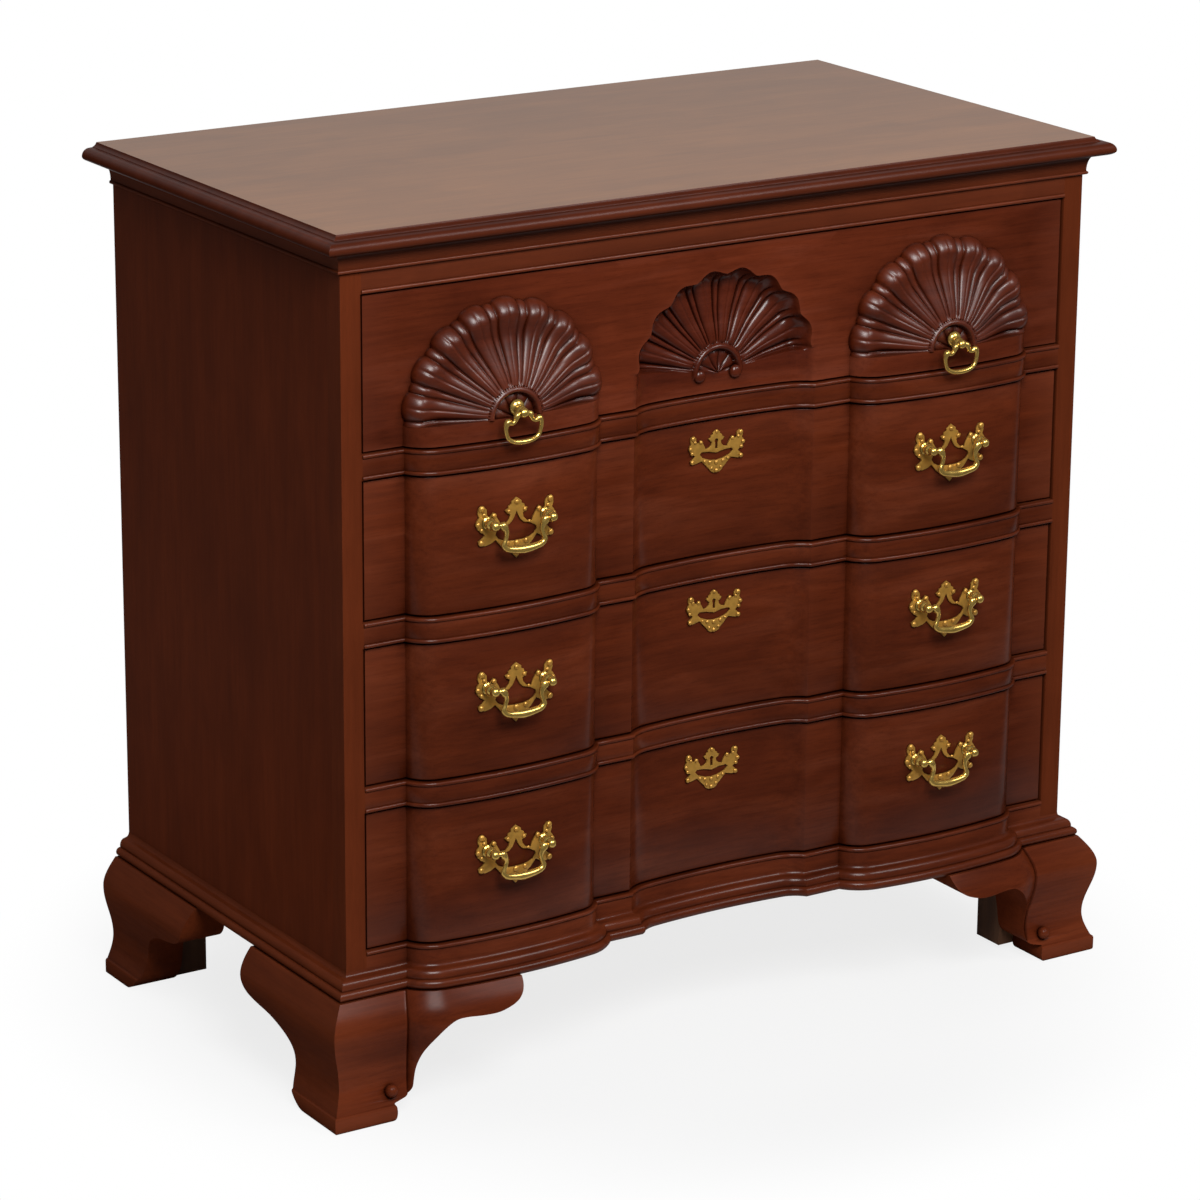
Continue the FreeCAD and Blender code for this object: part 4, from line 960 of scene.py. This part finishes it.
def plate(halves, beads, bend, centre):
    """A sheet of brass inside the first outline and outside the others, bevelled, beaded and bent."""
    mesh = bmesh.new()
    for half in halves:
        line = half + [(-x, z) for x, z in reversed(half) if x > 0]
        corners = [mesh.verts.new((x, 0.0, z)) for x, z in line]
        for place, corner in enumerate(corners):
            mesh.edges.new((corner, corners[(place + 1) % len(corners)]))
    bmesh.ops.triangle_fill(mesh, use_beauty=True, edges=mesh.edges, normal=(0, -1, 0))
    for x in range(-36, 37, 9):
        bmesh.ops.bisect_plane(mesh, geom=mesh.verts[:] + mesh.edges[:] + mesh.faces[:], plane_co=(x, 0, 0),
                               plane_no=(1, 0, 0), dist=0.001)
    bmesh.ops.recalc_face_normals(mesh, faces=mesh.faces)
    rim = [edge for edge in mesh.edges if edge.is_boundary]
    raised = bmesh.ops.extrude_face_region(mesh, geom=mesh.faces[:], use_keep_orig=True)
    lifted = [part for part in raised["geom"] if isinstance(part, bmesh.types.BMVert)]
    bmesh.ops.translate(mesh, verts=lifted, vec=(0, -plate_thickness, 0))
    bmesh.ops.recalc_face_normals(mesh, faces=mesh.faces)
    front = [edge for edge in mesh.edges if all(abs(v.co.y + plate_thickness) < 0.01 for v in edge.verts)
             and edge.calc_face_angle(0.0) > 1.0]
    bmesh.ops.bevel(mesh, geom=front, offset=0.7, segments=2, profile=0.5, affect="EDGES", material=-1,
                    offset_type="OFFSET")
    for x, z, radius in beads:
        for sign in (-1, 1) if x else (1,):
            ball(mesh, (sign * x, -plate_thickness, z), radius, 0.75, (12, 8))
    for corner in mesh.verts:
        corner.co += Vector((centre[0], centre[1] + bend(corner.co.x), centre[2]))
    return mesh


def block_bend(x):
    """How far a block falls back from its crown."""
    return block_shape["depth"] - bow_out(block_shape, x)


def hollow_bend(x):
    """How far a hollow comes forward from its middle."""
    return bow_out(hollow_shape, x) - hollow_shape["depth"]


pull_heights = {2: 584.8, 3: 420.6, 4: 255.5}
plate_drop = 9.0
shield_rise = 19.4
block_face_y = drawer_front_y - block_shape["depth"]
hollow_face_y = drawer_front_y + hollow_shape["depth"]


# --- Posts ----------------------------------------------------------------------------------------
# Turned brass posts that pass through the plate and the drawer front. Each ends in a barrel bored
# for the bail's pin.
brass = toned_brass("polished_brass", (0.80, 0.52, 0.13), (0.07, 0.035, 0.008), 0.17, 0.85)
post_reach = 14.0
post_spacing = 64.0


def turned(points, place, turn):
    """A turned shape from (radius, height) points, stood on a place and turned."""
    mesh = bmesh.new()
    corners = [mesh.verts.new((radius, 0.0, height)) for radius, height in points]
    edges = [mesh.edges.new(pair) for pair in zip(corners, corners[1:])]
    bmesh.ops.spin(mesh, geom=corners + edges, cent=(0, 0, 0), axis=(0, 0, 1), angle=math.tau, steps=24,
                   use_merge=True)
    bmesh.ops.remove_doubles(mesh, verts=mesh.verts, dist=0.001)
    bmesh.ops.recalc_face_normals(mesh, faces=mesh.faces)
    bmesh.ops.transform(mesh, matrix=Matrix.Translation(place) @ turn, verts=mesh.verts)
    return mesh


to_front = Matrix.Rotation(math.radians(90), 4, "X")
along_x = Matrix.Rotation(math.radians(90), 4, "Y")


def post(x, z, base_y, reach):
    """Stem with a small collar, and a barrel across its end."""
    stem = [(0.0, 0.0), (5.6, 0.0), (5.8, 1.0), (4.5, 2.0), (4.4, 2.8), (5.3, 4.2), (5.9, 6.0), (5.9, 7.8),
            (5.3, 9.4), (4.2, 11.0), (3.2, reach - 3.4), (2.6, reach - 2.6), (0.0, reach - 2.0)]
    half_barrel = [(4.5, 1.9), (3.6, 3.4), (2.0, 4.2), (0.0, 4.4)]
    barrel = [(radius, -along) for radius, along in reversed(half_barrel)] + [(4.8, 0.0)] + half_barrel
    return [turned(stem, (x, base_y, z), to_front), turned(barrel, (x, base_y - reach, z), along_x)]


for number in (2, 3, 4):
    post_z = pull_heights[number]
    shield_place = (0.0, hollow_face_y, post_z + shield_rise)
    plates = [plate([shield, crescent, keyhole], shield_beads, hollow_bend, shield_place)]
    posts = []
    for sign in (-1, 1):
        plates.append(plate([wing, middle_opening], wing_beads, block_bend,
                            (sign * block_centre, block_face_y, post_z - plate_drop)))
        for end in (-1, 1):
            x = sign * block_centre + end * post_spacing / 2
            base_y = block_face_y - plate_thickness + block_bend(post_spacing / 2)
            posts += post(x, post_z, base_y, post_reach)
    finished(joined(plates), "plates_%d" % number, "drawer_%d" % number, plate_brass,
             ["drawer_%d_brasses" % number], crease=40.0)
    finished(joined(posts), "posts_%d" % number, "drawer_%d" % number, brass,
             ["drawer_%d_brasses" % number], crease=40.0)


# --- Bails ----------------------------------------------------------------------------------------
# Cast brass handles that hang from their pins and swing up. The lower ones swell at the middle and
# curl in a swan neck to each post; those on the top drawer are stirrups hung on one post.
swan_path = [(27.0, 0.0), (23.6, -0.8), (20.8, -4.8), (19.6, -9.5), (20.9, -14.6), (22.6, -19.6),
             (19.0, -23.8), (10.0, -25.8), (0.0, -26.8)]
swan_widths = [2.2, 4.5, 3.2, 2.3, 2.2, 2.9, 3.2, 3.6, 4.1]
stirrup_path = [(4.0, 0.0), (7.2, -2.0), (9.5, -6.8), (13.0, -8.6), (17.2, -7.2), (19.4, -11.5),
                (19.0, -17.0), (16.5, -23.3), (10.0, -27.0), (0.0, -28.2)]
stirrup_widths = [1.9, 3.2, 2.2, 2.3, 3.4, 2.4, 2.0, 2.1, 2.3, 2.5]
pin_length = 3.0
pin_radius = 1.6
drop_z = 690.7
shell_face_y = -234.72
drop_reach = 12.0


def bail(path, widths, pivot, pin):
    """A round bar of changing thickness along a mirrored path, closed at both pins."""
    half = [(x, z, width) for (x, z), width in zip(path, widths)]
    half.insert(0, (path[0][0] + pin, path[0][1], pin_radius))
    line = through(half + [(-x, z, width) for x, z, width in reversed(half[:-1])], 5)
    sides = 14

    def place(column, row):
        here = line[row]
        ahead = line[min(row + 1, len(line) - 1)]
        behind = line[max(row - 1, 0)]
        run = Vector((ahead.x - behind.x, 0, ahead.y - behind.y)).normalized()
        across = Vector((0, 1, 0)).cross(run)
        angle = math.tau * column / sides
        deep = min(here.z, 3.6)
        centre = Vector(pivot) + Vector((here.x, 0, here.y))
        return centre + across * here.z * math.cos(angle) + Vector((0, deep * math.sin(angle), 0))

    return closed(patch(sides + 1, len(line), place))


for side, sign in (("left", -1), ("right", 1)):
    for number in (2, 3, 4):
        pivot = (sign * block_centre, block_face_y - plate_thickness - post_reach, pull_heights[number])
        node_name = "drawer_%d_bail_%s" % (number, side)
        finished(bail(swan_path, swan_widths, pivot, pin_length), "bail_%d_%s" % (number, side), node_name,
                 brass, [node_name])
    pivot = (sign * block_centre, shell_face_y - drop_reach, drop_z)
    node_name = "drawer_1_bail_" + side
    finished(bail(stirrup_path, stirrup_widths, pivot, -pin_length), "stirrup_" + side, node_name,
             brass, [node_name])
posts = []
for sign in (-1, 1):
    posts += post(sign * block_centre, drop_z, shell_face_y, drop_reach)
    boss = [(0.0, -2.0), (7.0, -2.0), (7.8, 0.2), (7.2, 1.8), (5.6, 3.2), (3.0, 4.2), (0.0, 4.6)]
    posts.append(turned(boss, (sign * block_centre, shell_face_y, drop_z + 2.6), to_front))
finished(joined(posts), "drop_posts", "drawer_1", brass, ["drawer_1_brasses"])


# --- Floor, light and camera ----------------------------------------------------------------------
# A plain pale floor under a pale room that is dim in front, two soft lamps there, and a camera at
# the chest's left front.
floor_mesh = bmesh.new()
bmesh.ops.create_grid(floor_mesh, x_segments=1, y_segments=1, size=30.0)
floor_data = bpy.data.meshes.new("floor")
floor_mesh.to_mesh(floor_data)
floor_mesh.free()
floor = bpy.data.objects.new("floor", floor_data)
bpy.context.scene.collection.objects.link(floor)
floor_paint, tree, surface = new_finish("floor_paint")
floor_data.materials.append(floor_paint)


def seen_ray(tree, fade):
    """One for a ray that shows the background, fade for one that mirrors it, nought for one that lights."""
    rays = shader_node(tree, "ShaderNodeLightPath").outputs
    either = worked_out(tree, "MAXIMUM", rays["Is Glossy Ray"], rays["Is Transmission Ray"])
    return worked_out(tree, "MAXIMUM", rays["Is Camera Ray"], worked_out(tree, "MULTIPLY", either, fade))


spot = object_place(tree)
depth = axes_of(tree, spot)["Y"]
fill(tree, surface, Base_Color=rescaled(tree, depth, -0.64, -0.34, 0.08, 0.60, "SMOOTHSTEP"),
     Roughness=0.9, Specular_IOR_Level=0.0)
away = shader_node(tree, "ShaderNodeVectorMath", operation="LENGTH", Vector=spot).outputs["Value"]
rear = rescaled(tree, depth, 0.3, 1.2, curve="SMOOTHSTEP")
spread = rescaled(tree, away, 0.36, 0.66, 0.80, 1.0, "SMOOTHSTEP")
shown = worked_out(tree, "MULTIPLY", spread, seen_ray(tree, rear))
glow = shader_node(tree, "ShaderNodeEmission", Color=(1.0, 1.0, 1.0, 1.0), Strength=1.0)
blend = shader_node(tree, "ShaderNodeMixShader")
for socket, source in zip(blend.inputs, (shown, surface.outputs["BSDF"], glow.outputs["Emission"])):
    tree.links.new(source, socket)
tree.links.new(blend.outputs["Shader"], tree.nodes["Material Output"].inputs["Surface"])

world = bpy.data.worlds.new("studio")
bpy.context.scene.world = world
world.use_nodes = True
tree = world.node_tree
sky = tree.nodes["Background"]
heading = axes_of(tree, shader_node(tree, "ShaderNodeTexCoord").outputs["Generated"])
behind = rescaled(tree, heading["Y"], 0.15, 0.55, curve="SMOOTHSTEP")
room = rescaled(tree, behind, 0.0, 1.0, 0.17, 0.30)
brightness = rescaled(tree, seen_ray(tree, behind), 0.0, 1.0, room, 1.0)
fill(tree, sky, Color=(1.0, 1.0, 1.0, 1.0), Strength=brightness)

for name, place, aim, size, power in (
    ("left_lamp", (-0.8, -2.2, 2.4), (0.0, 0.0, 0.5), 1.2, 84.0),
    ("right_lamp", (1.3, -2.1, 2.4), (0.0, 0.0, 0.5), 1.0, 31.0),
):
    lamp = bpy.data.lights.new(name, "AREA")
    lamp.size = size
    lamp.energy = power
    holder = bpy.data.objects.new(name, lamp)
    bpy.context.scene.collection.objects.link(holder)
    holder.location = place
    holder.rotation_euler = (Vector(aim) - Vector(place)).to_track_quat("-Z", "Y").to_euler()

camera_place = Vector((-2.4231, -3.7548, 1.7968))
camera_aim = Vector((0.0140, 0.0381, 0.3872))
camera_roll = math.radians(0.455)
lens = bpy.data.cameras.new("camera")
lens.lens = 136.72
lens.sensor_width = 36.0
camera = bpy.data.objects.new("camera", lens)
bpy.context.scene.collection.objects.link(camera)
camera.location = camera_place
turn = (camera_aim - camera_place).to_track_quat("-Z", "Y")
camera.rotation_mode = "QUATERNION"
camera.rotation_quaternion = turn @ Quaternion((0, 0, 1), camera_roll)
bpy.context.scene.camera = camera
bpy.context.scene.view_settings.view_transform = "Standard"
